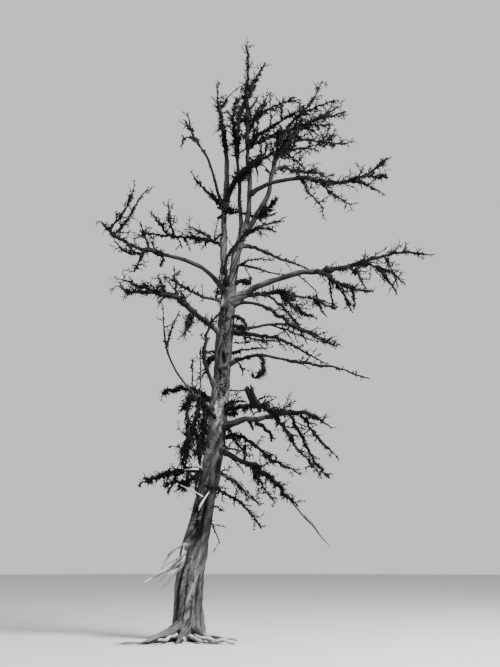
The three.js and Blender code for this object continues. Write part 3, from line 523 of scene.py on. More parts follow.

# Hollows, cracks, knots and burls of the trunk: place up it, side that it faces, length, width, depth
# (less than nothing where it stands out), how far it leans and how dark it is
# Sunken marks are darker, partly the wood's own colour and partly painted shade in the hollows; most raised
# ones are paler, partly the wood's own colour and partly painted highlight
trunkMarks = [
    (960, -128, 1300, 62, 75, 4, 1.0), (2130, -82, 900, 215, 130, 4, 1.1),
    (2700, -84, 760, 54, 60, -3, 1.0), (3250, -48, 330, 95, 60, 5, 0.9), (5400, -90, 215, 88, 80, -5, 1.7),
    (5115, -112, 80, 66, 45, 0, 1.7), (4907, -58, 520, 30, 30, 9, 0.8), (4300, 95, 700, 110, 70, 6, 0.7),
    (5050, -78, 90, 60, 20, 0, 1.3), (4990, -104, 60, 44, 16, 0, 1.2), (5180, -60, 110, 40, 14, 0, 1.0),
    (6560, -140, 220, 90, -8, 0, -1.2), (4334, -140, 120, 46, 24, 0, 0.9), (4748, -90, 90, 50, 20, 0, 0.6),
    (1750, -125, 190, 90, -26, 0, 0.0), (1180, -62, 1500, 60, -18, 3, -0.5),
    (420, -94, 150, 110, -30, 0, -0.3), (290, -62, 160, 120, -30, 0, -0.3),
    (4413, -112, 220, 80, -6, 10, -1.2), (4300, -88, 280, 60, -5, 12, -1.1),
    (4050, -62, 320, 60, -6, 12, -1.0), (1465, -88, 130, 40, -22, 0, -0.7),
    (3650, -70, 420, 60, 18, 14, 0.4), (2950, -120, 600, 44, 24, 8, 0.5), (6100, -60, 480, 46, 20, 10, 0.5),
    (5700, -120, 520, 50, 22, 12, 0.5), (3000, 40, 700, 60, 30, 6, 0.5), (1500, 60, 900, 80, 45, 5, 0.7),
    (800, 150, 800, 70, 50, 3, 0.7), (3900, 160, 500, 60, 25, 9, 0.5), (4250, -80, 560, 260, -4, 8, -0.5),
    (3750, -85, 700, 300, 0, 10, -0.3), (760, -100, 900, 30, 22, 3, 0.8), (900, -45, 1100, 44, 26, 5, 0.8),
    (560, -72, 500, 26, 16, 6, 0.7), (5480, -60, 90, 60, 16, 0, 0.9), (4620, -110, 110, 60, 14, 0, 0.7),
    (5780, -90, 160, 50, 12, 8, 0.7), (6400, -100, 260, 60, 14, 10, 0.5), (3420, -112, 150, 60, 14, 6, 0.6),
    (700, -78, 900, 70, -10, 5, -0.4), (600, -25, 700, 60, 40, 6, 0.6), (2000, -20, 800, 50, 26, 9, 0.5),
    (5600, 20, 500, 50, 24, 8, 0.5),
]

# Patches of small dark pits on the trunk: place up it, side that it faces, length, width and darkness
trunkBlotches = [
    (5060, -88, 420, 330, 1.5), (4700, -80, 500, 300, 0.7), (5750, -90, 700, 300, 0.45),
    (6300, -90, 500, 300, 0.5), (3900, -100, 900, 300, 0.35), (900, -90, 1200, 500, 0.4),
    (5100, 90, 1600, 500, 0.6), (3000, 100, 2400, 500, 0.5),
]
pits = dict(size=30, gain=2.4, patch=90, less=0.1, most=1.4, depth=9, patchy=0.8, patchiness=0.6,
            patchSize=70)


def meshFromRods(name, rods, voxel):  # one closed skin round all rods
    bpy.ops.object.select_all(action="DESELECT")
    curve = bpy.data.curves.new(name, "CURVE")
    curve.dimensions, curve.bevel_depth, curve.bevel_resolution = "3D", 1, woodLook["round"]
    curve.use_fill_caps = True
    for rod in rods:
        spline = curve.splines.new("POLY")
        spline.points.add(len(rod["points"]) - 1)
        spline.points.foreach_set("co", np.c_[rod["points"] * metre, np.ones(len(rod["points"]))].ravel())
        spline.points.foreach_set("radius", rod["radii"] * metre)
    wood = bpy.data.objects.new(name, curve)
    bpy.context.collection.objects.link(wood)
    wood.select_set(True)
    bpy.context.view_layer.objects.active = wood
    bpy.ops.object.convert(target="MESH")
    remesh = wood.modifiers.new("skin", "REMESH")
    remesh.mode, remesh.voxel_size = "VOXEL", voxel * metre
    soften = wood.modifiers.new("soften", "SMOOTH")
    soften.factor, soften.iterations = woodLook["softness"], woodLook["smoothing"]
    for modifier in ("skin", "soften"):
        bpy.ops.object.modifier_apply(modifier=modifier)
    return wood


def vectorsOf(mesh, key):
    values = np.zeros(len(mesh.vertices) * 3)
    mesh.vertices.foreach_get(key, values)
    return values.reshape(-1, 3)


def nearestRods(spots, rods):  # for each spot its angle round the nearest rod, its place along it and so on
    best = np.full(len(spots), np.inf)
    angle, place, shade = (np.zeros(len(spots)) for _ in range(3))
    radius, onTrunk = np.ones(len(spots)), np.zeros(len(spots), bool)
    for rod in rods:
        points, radii = rod["points"], rod["radii"]
        tree = kdtree.KDTree(len(points))
        for i, point in enumerate(points):
            tree.insert(point, i)
        tree.balance()
        room = radii.max() * woodLook["nearRoom"]
        near = np.flatnonzero((spots > points.min(0) - room).all(1) & (spots < points.max(0) + room).all(1))
        found = [tree.find(spot)[1:] for spot in spots[near]]
        index = np.array([item[0] for item in found], int)
        gap = np.array([item[1] for item in found]) - radii[index]
        closer = gap < best[near]
        near, index = near[closer], index[closer]
        best[near] = gap[closer]
        tangents = unit(np.gradient(points, axis=0))
        sides, across = sidesOf(tangents, [0.0, -1, 0])
        away = spots[near] - points[index]
        angle[near] = np.arctan2((away * across[index]).sum(1), (away * sides[index]).sum(1))
        place[near] = rod["places"][index] + (away * tangents[index]).sum(1)
        radius[near] = radii[index]
        onTrunk[near] = rod["limb"].get("name") == "trunk"
        shade[near] = rod.get("shade", evenShade(0))(place[near])
    return angle, place, radius, onTrunk, shade


def turnFrom(angle, facing):
    return (angle - math.radians(facing) + math.pi) % (2 * math.pi) - math.pi


def markTrunk(relief, dark, spots, angle, place, radius, onTrunk):  # changes relief and dark where they are
    patchy = pits["patchy"] + pits["patchiness"] * drift(spots / pits["patchSize"], noises["patchy"])
    holes = drift(spots / pits["size"], noises["holes"]) * pits["gain"]
    holes = holes + drift(spots / pits["patch"], noises["holePatch"]) - pits["less"]
    holes = np.clip(holes, 0, pits["most"])
    for at, facing, length, width, depth, lean, darkness in trunkMarks:
        leant = (place - at) * math.tan(math.radians(lean))
        over = (turnFrom(angle, facing) * radius - leant) / (width / 2)
        share = np.exp(-over**2 - np.abs((place - at) / (length / 2))**3) * onTrunk
        # A sunken mark is darkened and a raised one mostly made paler: partly the wood's own colour, partly
        # painted shade in the hollow and painted highlight on the raised strip
        relief -= depth * share
        dark += darkness * share * patchy
    for at, facing, length, width, darkness in trunkBlotches:
        over = turnFrom(angle, facing) * radius / (width / 2)
        share = np.exp(-over**2 - ((place - at) / (length / 2))**2) * onTrunk
        # The pits darken where they are deepest: partly the wood's own colour, partly painted shade in the
        # pits
        dark += darkness * share * holes
        relief -= pits["depth"] * share * holes


def carveWood(wood, rods, marked):  # moves the wood's points into its strands, cracks, knots and hollows
    look, mesh = woodLook, wood.data
    spots, outward = vectorsOf(mesh, "co") / metre, vectorsOf(mesh, "normal")
    angle, place, radius, onTrunk, shade = nearestRods(spots, rods)
    turned = angle + place * look["twist"] * np.clip(look["usualRadius"] / radius, *look["twistRange"])
    grain = np.c_[radius * np.cos(turned), radius * np.sin(turned), place]
    heft = np.clip(radius / look["usualRadius"], *look["heftRange"])
    strands = drift(grain / look["strandGrain"], noises["strand"]) * (1 - look["thinShare"])
    strands = strands + drift(grain / look["thinGrain"], noises["thinStrand"]) * look["thinShare"]
    fibres = drift(grain / look["fibreGrain"], noises["fibre"])
    cracks = drift(grain / look["crackGrain"], noises["crack"])
    cracks = np.clip(cracks - look["crackFrom"], 0, 1) * look["crackGain"]
    lumps = drift(spots / look["lumpSize"], noises["lump"]) * (1 - look["smallLumpShare"])
    lumps = lumps + drift(spots / look["smallLump"], noises["smallLump"]) * look["smallLumpShare"]
    deep = np.interp(place, look["strandHeights"], [look["strand"], look["strandAbove"]])
    relief = radius * np.where(onTrunk, deep, look["strand"]) * strands + look["fibre"] * heft * fibres
    relief -= look["crack"] * heft * cracks
    relief += look["lump"] * heft * lumps
    lobes = trunk["ridge"] * np.cos(trunk["ridges"] * angle + place * trunk["twist"])
    relief += np.where(onTrunk, radius * lobes, 0)
    # Painted shade in the cracks and in the hollows between strands, painted light on the strands' ridges and
    # on lumps, added to the rod's own darkness
    dark = shade + cracks * paintedWoodShade["crack"] - strands * paintedWoodShade["strand"] - lumps * paintedWoodShade["lump"]
    # Painted shade on the undersides and painted light on the tops of all but the trunk, by which way the
    # surface faces
    lit = np.where(onTrunk, 0, outward[:, 2])
    dark += paintedWoodShade["paintedUnderShade"] * np.clip(-lit, 0, 1) - paintedWoodShade["paintedTopLight"] * np.clip(lit, 0, 1)
    if marked:
        markTrunk(relief, dark, spots, angle, place, radius, onTrunk)
    spots += outward * relief[:, None]
    spots[:, 2] = np.maximum(spots[:, 2], 0)
    mesh.vertices.foreach_set("co", (spots * metre).ravel())
    grainMap = mesh.attributes.new("grain", "FLOAT_VECTOR", "POINT")
    grainMap.data.foreach_set("vector", (grain * metre).ravel())
    # The darkness attribute holds the wood's own darkness together with the painted shade and painted light
    # set above
    darknessAndPaintedShadeMap = mesh.attributes.new("dark", "FLOAT", "POINT")
    darknessAndPaintedShadeMap.data.foreach_set("value", np.clip(dark, *look["darkRange"]))
    mesh.update()


def finishPiece(obj, finishes, nodes):
    obj.data.materials.clear()
    for finish in finishes:
        obj.data.materials.append(finish)
    obj.data.polygons.foreach_set("use_smooth", np.ones(len(obj.data.polygons), bool))
    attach(obj, "root")
    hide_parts(*nodes)


def woodPiece(name, rods, voxel, finish, nodes, marked=False):
    piece = meshFromRods(name, rods, voxel)
    carveWood(piece, rods, marked)
    finishPiece(piece, [finish], nodes)
    print(name + ":", len(piece.data.vertices), "points")


class Signal:  # a value or a colour that comes out of a node, with sums written as sums
    def __init__(self, finish, socket):
        self.finish, self.socket = finish, socket

    def maths(self, operation, a, b):
        return self.finish.add("ShaderNodeMath", dict(operation=operation), {0: a, 1: b})

    def __add__(self, other):
        return self.maths("ADD", self, other)

    def __radd__(self, other):
        return self.maths("ADD", other, self)

    def __sub__(self, other):
        return self.maths("SUBTRACT", self, other)

    def __rsub__(self, other):
        return self.maths("SUBTRACT", other, self)

    def __mul__(self, other):
        return self.maths("MULTIPLY", self, other)

    def __rmul__(self, other):
        return self.maths("MULTIPLY", other, self)

    def held(self, low=0.0, high=1.0):
        return self.finish.add("ShaderNodeClamp", {}, {0: self, 1: low, 2: high})


class Finish:  # one material, whose nodes all come from add
    def __init__(self, name):
        self.material = bpy.data.materials.new(name)
        self.material.use_nodes = True
        self.nodes = self.material.node_tree.nodes
        self.shader = self.nodes["Principled BSDF"]

    def add(self, kind, settings, inputs, output=0):
        node = self.nodes.new(kind)
        for key, value in settings.items():
            setattr(node, key, value)
        self.feed(node, inputs)
        return Signal(self, node.outputs[output])

    def feed(self, node, inputs):
        for key, value in inputs.items():
            if isinstance(value, Signal):
                self.material.node_tree.links.new(value.socket, node.inputs[key])
            else:
                node.inputs[key].default_value = value

    def place(self):  # Object coordinates
        return self.add("ShaderNodeTexCoord", {}, {}, 3)

    def noise(self, place, scale, detail=3.0, roughness=0.55, distortion=0.0):
        return self.add("ShaderNodeTexNoise", {}, {"Vector": place, "Scale": scale, "Detail": detail,
                                                   "Roughness": roughness, "Distortion": distortion})

    def stretched(self, place, stretch):
        return self.add("ShaderNodeVectorMath", dict(operation="MULTIPLY"), {0: place, 1: stretch})

    def blend(self, share, first, second):
        return self.add("ShaderNodeMix", dict(data_type="RGBA"), {0: share, 6: first, 7: second}, 2)

    def bump(self, height, strength, distance):
        return self.add("ShaderNodeBump", {}, {"Height": height, "Strength": strength, "Distance": distance})

    def set(self, **inputs):
        self.feed(self.shader, {key.replace("_", " "): value for key, value in inputs.items()})
        return self.material


def grey(value):
    return (value, value, value, 1)


# Tones and polish of the wood. Fibres and bands are stretched along the grain
woodTones = dict(bleached=0.55, pale=0.24, light=0.07, mid=0.026, dark=0.008, black=0.003, fibreStretch=0.085,
                 bandStretch=0.12, reliefStrength=0.7, reliefDepth=0.03, roughest=0.98, smoothest=0.5,
                 sheen=0.2, boughLift=0.8, paleLift=1.7)
# Scale, detail, roughness and distortion of each pattern in the wood
woodNoise = dict(fibre=(24, 6.0, 0.65, 0.35), fine=(108.0, 3.0, 0.6), band=(8, 3.0, 0.5, 0.6),
                 patch=(2.2, 4.0, 0.6, 0.6))
# How much each pattern counts, and for each tone where it comes in, its gain and the most that it covers
woodMix = dict(weatherFibre=2.4, weatherPatch=1.2, weatherBand=2.2, weatherFrom=2.45, paleGain=1.1,
               paleFrom=0.55, paleFibre=0.6, paleMost=0.9, bleachFrom=0.62, bleachGain=2.2, bleachMost=0.9,
               brightFrom=1.17, brightGain=4.5, brightMost=0.65, streakFrom=0.47, streakGain=6.5,
               streakMost=0.85, shadowFrom=0.4, shadowGain=5.0, shadowMost=0.6, blackGain=1.25,
               blackFrom=0.5, blackFine=0.6, blackMost=0.97, reliefFibre=0.7, reliefFine=0.3, roughFibre=0.35)


def woodFinish(name, lift=1.0):  # dark is what the carving set at each point, the wood's own darkness with painted shade and painted light in it, less than nothing where pale
    tones, mix = woodTones, woodMix
    finish = Finish(name)
    grain = finish.add("ShaderNodeAttribute", dict(attribute_name="grain"), {}, 1)
    dark = finish.add("ShaderNodeAttribute", dict(attribute_name="dark"), {}, 2)
    spot = finish.place()
    fibres = finish.stretched(grain, (1, 1, tones["fibreStretch"]))
    fibre = finish.noise(fibres, *woodNoise["fibre"])
    fine = finish.noise(fibres, *woodNoise["fine"])
    bands = finish.stretched(grain, (1, 1, tones["bandStretch"]))
    band = finish.noise(bands, *woodNoise["band"])
    patch = finish.noise(spot, *woodNoise["patch"])
    weather = fibre * mix["weatherFibre"] + patch * mix["weatherPatch"] + band * mix["weatherBand"]
    weather = (weather - mix["weatherFrom"]).held()
    colour = finish.blend(weather, grey(tones["mid"] * lift), grey(tones["light"] * lift))
    pale = 0 - dark * mix["paleGain"] + (fibre - mix["paleFrom"]) * mix["paleFibre"]
    pale = pale.held(0, mix["paleMost"])
    colour = finish.blend(pale, colour, grey(tones["pale"] * lift))
    bleach = ((0 - dark - mix["bleachFrom"]) * mix["bleachGain"]).held(0, mix["bleachMost"])
    colour = finish.blend(bleach, colour, grey(tones["bleached"]))
    bright = ((band + fibre - mix["brightFrom"]) * mix["brightGain"]).held(0, mix["brightMost"])
    colour = finish.blend(bright, colour, grey(tones["pale"] * lift))
    streak = ((mix["streakFrom"] - fibre) * mix["streakGain"]).held(0, mix["streakMost"])
    colour = finish.blend(streak, colour, grey(tones["dark"] * lift))
    shadow = ((mix["shadowFrom"] - band) * mix["shadowGain"]).held(0, mix["shadowMost"])
    colour = finish.blend(shadow, colour, grey(tones["dark"] * lift))
    # The darkness attribute, painted shade included, turns the wood towards black
    black = dark * mix["blackGain"] + (fine - mix["blackFrom"]) * mix["blackFine"] * dark
    black = black.held(0, mix["blackMost"])
    colour = finish.blend(black, colour, grey(tones["black"]))
    relief = fibre * mix["reliefFibre"] + fine * mix["reliefFine"]
    relief = finish.bump(relief, tones["reliefStrength"], tones["reliefDepth"])
    rough = (tones["roughest"] - fibre * mix["roughFibre"]).held(tones["smoothest"], tones["roughest"])
    return finish.set(Base_Color=colour, Roughness=rough, Normal=relief, Specular_IOR_Level=tones["sheen"])


twigSkin = dict(scale=90, strength=0.5, depth=0.006, roughness=0.75, roughRange=0.3, smoothest=0.6,
                sheen=0.08)


def twigFinish(name, tone):
    finish, skin = Finish(name), twigSkin
    rough = finish.noise(finish.place(), skin["scale"], 2.0)
    relief = finish.bump(rough, skin["strength"], skin["depth"])
    roughness = (skin["roughness"] + rough * skin["roughRange"]).held(skin["smoothest"], 1.0)
    return finish.set(Base_Color=grey(tone), Roughness=roughness, Normal=relief,
                      Specular_IOR_Level=skin["sheen"])


trunkWood = woodFinish("weathered trunk wood, painted shade")
boughWood = woodFinish("weathered bough wood, painted shade", woodTones["boughLift"])
paleWood = woodFinish("bleached broken wood", woodTones["paleLift"])
print("finishes mixed")


# Seeds for the knots and bends of each kind of rod
rodSeeds = dict(boughs=10, roots=60, knots=20, splinters=30, faceSticks=8, paleSticks=1, prong=3)
stickStep = 18


def stickRod(stick, number, swell=0.25, sway=0.6):
    root = placeOn(lineNamed(stick.get("on", "trunk")), stick["at"])[0]
    line = middleLine(stick, root, growth["smallStep"], numbers(growth["stickSeed"] + number))
    return rodOf(line, stickStep, swell=swell, sway=sway, seed=number)


# The trunk with its roots, the right leader and the swollen feet of what springs from it
trunkLook = dict(step=30, leaderStep=25, leaderSwell=0.06, leaderSway=0.1,
                 shadeHeights=[1200, 2700, 3100, 3500, 4300, 4900, 5300],
                 shades=[-0.14, -0.04, -0.06, -0.28, -0.28, -0.14, 0.05])
# Each root is a core with torn strands along it, and tapers to a point
rootLook = dict(step=40, swell=0.16, bends=0.3, core=0.72, point=0.75, strands=4, thick=0.42, out=0.62,
                shortest=0.7, longest=1.02, least=4, turn=1.3, waveLength=260, lanes=9, sway=0.5)


def rootLines():
    made = []
    for root in roots:
        limb = dict(root, heading=[root["heading"]], rise=rootGrowth["rise"])
        line = middleLine(limb, (0, 0, 0), root["length"] / rootGrowth["steps"], numbers(root["heading"]))
        rest, start = root["width"][-1] * rootGrowth["tipRise"], rootGrowth["start"]
        fall = line["points"][-1, 2]
        line["points"][:, 2] = start + line["points"][:, 2] * (rest - start) / fall
        made.append(line)
    return made


def rootRods():
    look, rods = rootLook, []
    for number, line in enumerate(rootLines()):
        core = rodOf(line, look["step"], swell=look["swell"], sway=look["bends"],
                     seed=number + rodSeeds["roots"])
        points, places = core["points"], core["places"]
        radii = core["radii"] * (1 - look["point"] * (places / places[-1])**4)
        sides = sidesOf(unit(np.gradient(points, axis=0)), up)[0]
        rods.append(dict(core, radii=radii * look["core"]))
        for strand in range(look["strands"]):
            share = look["shortest"] + (look["longest"] - look["shortest"]) * rng.random()
            keep = max(look["least"], int(len(points) * share))
            lane = number * look["lanes"] + strand
            wave = drift(laneSpots(places, look["waveLength"], lane), noises["wave"])
            turn = np.linspace(-1, 1, look["strands"])[strand] * look["turn"] + wave * look["sway"]
            off = sides * np.sin(turn)[:, None] + up * np.cos(turn)[:, None]
            moved = points + off * (radii * look["out"])[:, None]
            thick = radii[:keep] * look["thick"]
            rods.append(dict(core, points=moved[:keep], radii=thick, places=places[:keep]))
    return rods


def makeTrunk():
    look = trunkLook
    rod = rodOf(lines["trunk"], look["step"])
    rod["radii"] = np.array([trunkRadius(place) for place in rod["places"]])
    rod["shade"] = lambda places: np.interp(places, look["shadeHeights"], look["shades"])
    rods = [rod] + rootRods()
    rods.append(rodOf(lines["right_leader"], look["leaderStep"], swell=look["leaderSwell"],
                      sway=look["leaderSway"]))
    rods += [collarOf(limb) for limb in limbs
             if limb["on"] in ("trunk", "right_leader") and limb["name"] != "right_leader"]
    woodPiece("trunkAndRoots", rods, woodLook["trunkVoxel"], trunkWood,
              ["trunk", "right_leader"], marked=True)


# The stems above the fork. Each darkens between two places on it, from a least darkness on
stemLook = dict(step=25, overlap=60, swell=0.12, sway=0.35, knotSwell=0.5, knotSway=0.8, knotShade=0.75)
stemDark = dict(left_leader=(2950, 3350, 0.0), top_stem=(900, 1900, 0.1), middle_stem=(300, 1700, 0.3),
                leaning_stem=(1500, 2200, 0.05))
leaderSwells = [(1150, 620, 0.3), (2650, 420, 0.3)]  # place along the left leader, reach and how much
leaderKnots = [
    woodAt(1800, 190, [-150], [-30], [130, 130, 70]),
    woodAt(1860, 210, [-100], [40], [120, 110, 60]),
    woodAt(1930, 170, [170], [20], [100, 90, 50]),
    woodAt(1740, 150, [-70], [-60], [110, 100, 60]),
]


def makeStems():
    look, rods = stemLook, []
    for number, limb in enumerate(stems):
        if limb["name"] not in stemDark:
            continue
        rod = rodOf(lines[limb["name"]], look["step"], 0, limb["bare"] + look["overlap"], look["swell"],
                    look["sway"], number)
        rod["shade"] = shadeBetween(*stemDark[limb["name"]])
        for place, reach, swell in leaderSwells if limb["name"] == "left_leader" else []:
            rod["radii"] = rod["radii"] * (1 + swell * np.exp(-((rod["places"] - place) / reach)**2))
        rods.append(rod)
    rods += [collarOf(limb) for limb in limbs if limb["on"] in stemDark]
    for number, knot in enumerate(leaderKnots):
        rod = stickRod(dict(knot, on="left_leader"), number + rodSeeds["knots"], look["knotSwell"],
                       look["knotSway"])
        rods.append(dict(rod, shade=evenShade(look["knotShade"])))
    woodPiece("leadersAndStems", rods, woodLook["stemVoxel"], trunkWood, list(stemDark))


# The bare boughs: how thick the shown wood is beside its solid, its least darkness, and the shares of its
# bare length between which it darkens
boughLook = dict(step=22, overlap=40, swell=0.14, sway=0.4, least=0.1, darkFrom=0.45, darkTo=1.15)
boughSlim = dict(great_left=0.86, long_right=0.7, upright_left=0.74, sweeping_left=0.85, high_left=0.88,
                 knot_right_back=0.72, fork_right_front=0.8, great_right=0.9)
boughDark = dict(long_right=0.5, upright_left=0.55, high_left=0.5, sweeping_left=0.3, front_diagonal=0.6,
                 knot_right_back=0.35, fork_right_front=0.4, mid_left=0.35, great_left=0.1, high_right=-0.1,
                 great_right=-0.1, low_right=-0.3)
boughDarkFrom = dict(low_right=0.95, great_right=0.6)


def makeBoughs():
    look, rods, nodes = boughLook, [], []
    for number, limb in enumerate(boughs):
        name, bare = limb["name"], limb["bare"]
        if bare == 0:
            continue
        rod = rodOf(lines[name], look["step"], 0, bare + look["overlap"], look["swell"], look["sway"],
                    number + rodSeeds["boughs"])
        rod["radii"] = rod["radii"] * boughSlim.get(name, 1)
        rod["shade"] = shadeBetween(bare * boughDarkFrom.get(name, look["darkFrom"]), bare * look["darkTo"],
                                    boughDark.get(name, look["least"]))
        rods.append(rod)
        nodes.append(name + "_bough")
    woodPiece("boughs", rods, woodLook["boughVoxel"], boughWood, nodes)


# Bleached sticks broken off and caught about the trunk. They stand on the trunk unless they say where
paleSticks = [
    woodAt(3100, 1340, [-45], [-2, -6, -44, -44], [34, 30, 12]),
    woodAt(1465, 390, [-92], [8], [60, 52, 40]),
    woodAt(950, 520, [-20], [-40, -46], [22, 10], on="lowest_right"),
    woodAt(1990, 520, [-150], [-24, -52], [40, 30, 14]),
    woodAt(1840, 640, [-150, -160, -170], [-18, -20, -44], [34, 28, 20]),
    woodAt(1560, 620, [-150, -160], [4, -20, -26, -24], [30, 24, 14]),
    woodAt(1900, 1330, [-25], [-46, -50], [50, 58, 62, 48, 20], on="lower_right"),
]
# Sticks that follow the trunk's face: places up it, facings round it, and how many radii out
faceSticks = [
    dict(spots=[(2768, -78, 1.24), (2529, -97, 1.45), (2318, -106, 1.55)], width=[26, 40, 28], shade=-0.9),
    dict(spots=[(1780, -132, 0.95), (1430, -130, 1.2), (1230, -155, 2.2), (1040, -163, 3.3)],
         width=[84, 110, 66, 26], shade=-0.6),
    dict(spots=[(1770, -142, 1.0), (1660, -155, 1.6), (1520, -160, 1.95), (1290, -160, 2.2)],
         width=[50, 44, 40, 26], shade=-0.4),
    dict(spots=[(3190, -122, 2.3), (3180, -134, 2.9), (3170, -142, 3.4)], width=[46, 42, 22], shade=-0.9),
    dict(spots=[(2890, -145, 3.3), (2770, -125, 2.3), (2660, -98, 1.5)], width=[20, 34, 30], shade=-0.6),
]
# Torn pale ends of the roots on the ground, to both sides of the foot
rootSplinters = [
    woodAt(84, 1460, [-62, -50, -38], [-1, -2, 1, -2], [110, 96, 84, 40]),
    woodAt(70, 1240, [-68, -62, -48], [-1, -1, 1, -2], [110, 90, 74, 44]),
    woodAt(110, 1340, [-52, -44, -30], [-2, -3, 3, -3], [100, 90, 70, 36]),
    woodAt(64, 960, [-76, -74, -60], [0, -1, 1], [96, 80, 60, 40]),
    woodAt(100, 1180, [-58, -40, -56], [0, -3, 4, -4], [90, 80, 62, 30]),
    woodAt(76, 860, [-96, -92, -80], [0, -2, 2], [80, 66, 50, 30]),
    woodAt(74, 1720, [-148, -136, -126], [-1, -2, 1, -1], [120, 110, 84, 60, 30]),
    woodAt(90, 1560, [-136, -130, -134], [-1, -3, 0, -2], [110, 90, 60, 30]),
    woodAt(70, 1240, [-118, -112, -104], [0, -2, 1, -2], [100, 84, 60, 30]),
]
faceLook = dict(swell=0.25, sway=0.8)
splinterLook = dict(swell=0.5, sway=1.4, shade=-0.55)
brokenLook = dict(knots=0.4, bends=1.8, swell=0.8, elbowAt=640, elbowReach=110, elbow=0.4, prong=0.8,
                  point=0.5)


def trunkFace(place, facing, out):  # a point over the trunk's surface
    turn = math.radians(facing)
    outward = np.array([math.cos(turn), math.sin(turn), 0])
    return placeOn(lines["trunk"], place)[0] + outward * trunkRadius(place) * out


def brokenRods():
    look = brokenLook
    root = placeOn(lines["trunk"], brokenLimb["at"])[0]
    line = middleLine(brokenLimb, root, growth["stemStep"], numbers(growth["brokenSeed"]))
    fork = placeOn(line, brokenProng["at"])[0]
    prong = middleLine(brokenProng, fork, growth["stemStep"], numbers(growth["brokenSeed"] + 1))
    rods = []
    for one, seed, thick in [(line, 0, 1), (prong, rodSeeds["prong"], look["prong"])]:
        rod = rodOf(one, stickStep, swell=look["knots"], sway=look["bends"], seed=seed)
        elbow = np.exp(-((rod["places"] - look["elbowAt"]) / look["elbowReach"])**2)
        point = 1 - look["point"] * (rod["places"] / rod["places"][-1])**3
        rods.append(dict(rod, radii=rod["radii"] * (look["swell"] + look["elbow"] * elbow) * point * thick))
    return rods


def faceRod(stick, number):
    points = np.array([trunkFace(*spot) for spot in stick["spots"]])
    places = np.r_[0, np.cumsum(np.linalg.norm(np.diff(points, axis=0), axis=1))]
    line = dict(points=points, places=places, limb=dict(width=stick["width"], length=places[-1]))
    rod = rodOf(line, stickStep, swell=faceLook["swell"], sway=faceLook["sway"], seed=number)
    return dict(rod, shade=evenShade(stick["shade"]))


def makeBleachedWood():
    rods = brokenRods()
    rods += [faceRod(stick, number + rodSeeds["faceSticks"]) for number, stick in enumerate(faceSticks)]
    for number, stick in enumerate(rootSplinters):
        rod = stickRod(stick, number + rodSeeds["splinters"], splinterLook["swell"], splinterLook["sway"])
        rods.append(dict(rod, shade=evenShade(splinterLook["shade"])))
    rods += [stickRod(stick, number + rodSeeds["paleSticks"]) for number, stick in enumerate(paleSticks)]
    woodPiece("bleachedWood", rods, woodLook["bleachedVoxel"], paleWood, ["broken_fork"])


# The broken slab over the front tangle: strands of torn wood side by side, of unlike lengths
slab = dict(limb="front_tangle.0", strands=24, thick=17, thickRange=(0.75, 1.15), spread=92, flat=0.55,
            turn=2.4, shortest=0.78, longest=1.12, least=4, tip=0.6, tipFrom=0.7, tipReach=0.3, knots=0.2,
            knotGap=60, step=20, darkness=1.25)


def makeSlab():
    line, rods = lineNamed(slab["limb"]), []
    points, places = smoothLine(line, step=slab["step"])
    tangents = unit(np.gradient(points, axis=0))
    sides, across = sidesOf(tangents, up)
    for number in range(slab["strands"]):
        turn, out = slab["turn"] * number, slab["spread"] * math.sqrt((number + 0.5) / slab["strands"])
        off = sides * math.cos(turn) * out + across * math.sin(turn) * out * slab["flat"]
        share = slab["shortest"] + (slab["longest"] - slab["shortest"]) * rng.random()
        keep = max(slab["least"], int(len(points) * min(share, 1)))
        rising = np.linspace(0, 1, keep)
        longer = tangents[:keep] * (rising * max(share - 1, 0) * places[-1])[:, None]
        tip = 1 - (1 - slab["tip"]) * np.clip((rising - slab["tipFrom"]) / slab["tipReach"], 0, 1)
        radii = slab["thick"] * tip * rng.uniform(*slab["thickRange"])
        radii = radii * (1 + slab["knots"] * drift(laneSpots(places[:keep], slab["knotGap"], number)))
        rods.append(dict(points=(points + off)[:keep] + longer, radii=radii, places=places[:keep], limb={},
                         shade=evenShade(slab["darkness"])))
    woodPiece("brokenSlab", rods, woodLook["slabVoxel"], boughWood, ["front_tangle_twigs"])


makeTrunk()
makeStems()
makeBoughs()
makeBleachedWood()
makeSlab()


# The twigs. Each kind is grown in rows of equal count: its lines of points and the radii at them.
# A kind has the gap between its twigs, their lengths, widths, angles to the limb, points and gnarl
twigLook = dict(tones=[0.03, 0.013, 0.008, 0.005], edge=0.025, topRoom=1.01, trunkRoom=1.1, stemSides=6,
                sideSides=4)
stemTwigs = dict(points=44, hostPoints=70, swell=0.34, knotGap=95, lane=3.1, sway=1.1, swayReach=200,
                 core=0.08, coreLevel=0.8, coreSwing=1.2, coreRange=(0.1, 2.2), smallWeight=0.25, overlap=20,
                 foot=0.5)
ruleTwigs = dict(points=7, thick=0.62, tip=0.45, gnarl=0.018)
sideTwigs = dict(gap=105, length=(100, 480), width=(11, 17), angles=(15, 70), taper=0.55, first=0.02,
                 power=1.6, points=7, gnarl=0.02, tip=0.35)
fineTwigs = dict(gap=62, length=(40, 150), width=(7, 11), angles=(25, 80), first=0.12, power=1.5, points=4,
                 gnarl=0.04, tip=0.35)
spurTwigs = dict(gap=40, length=(14, 74), width=(7, 12), angles=(35, 95), taper=0.5, first=0.03, power=1.7,
                 points=3, gnarl=0.06, tip=0.5, hosts=dict(stems=(1, 1.4), sides=(1.1, 1.2), fine=(1.4, 0.9)))
brushTwigs = dict(count=10, length=(25, 70), width=5, angles=(30, 100), places=(0.02, 0.8), hang=-0.25,
                  points=3, gnarl=0.05, tip=0.5, swings=(260, 90), smallSwing=0.4, more=0.25)
bareTwigs = dict(gap=75, length=(12, 46), width=(6, 10), angles=(50, 100), first=0.15, power=1.6, points=3,
                 gnarl=0.03, tip=0.5)
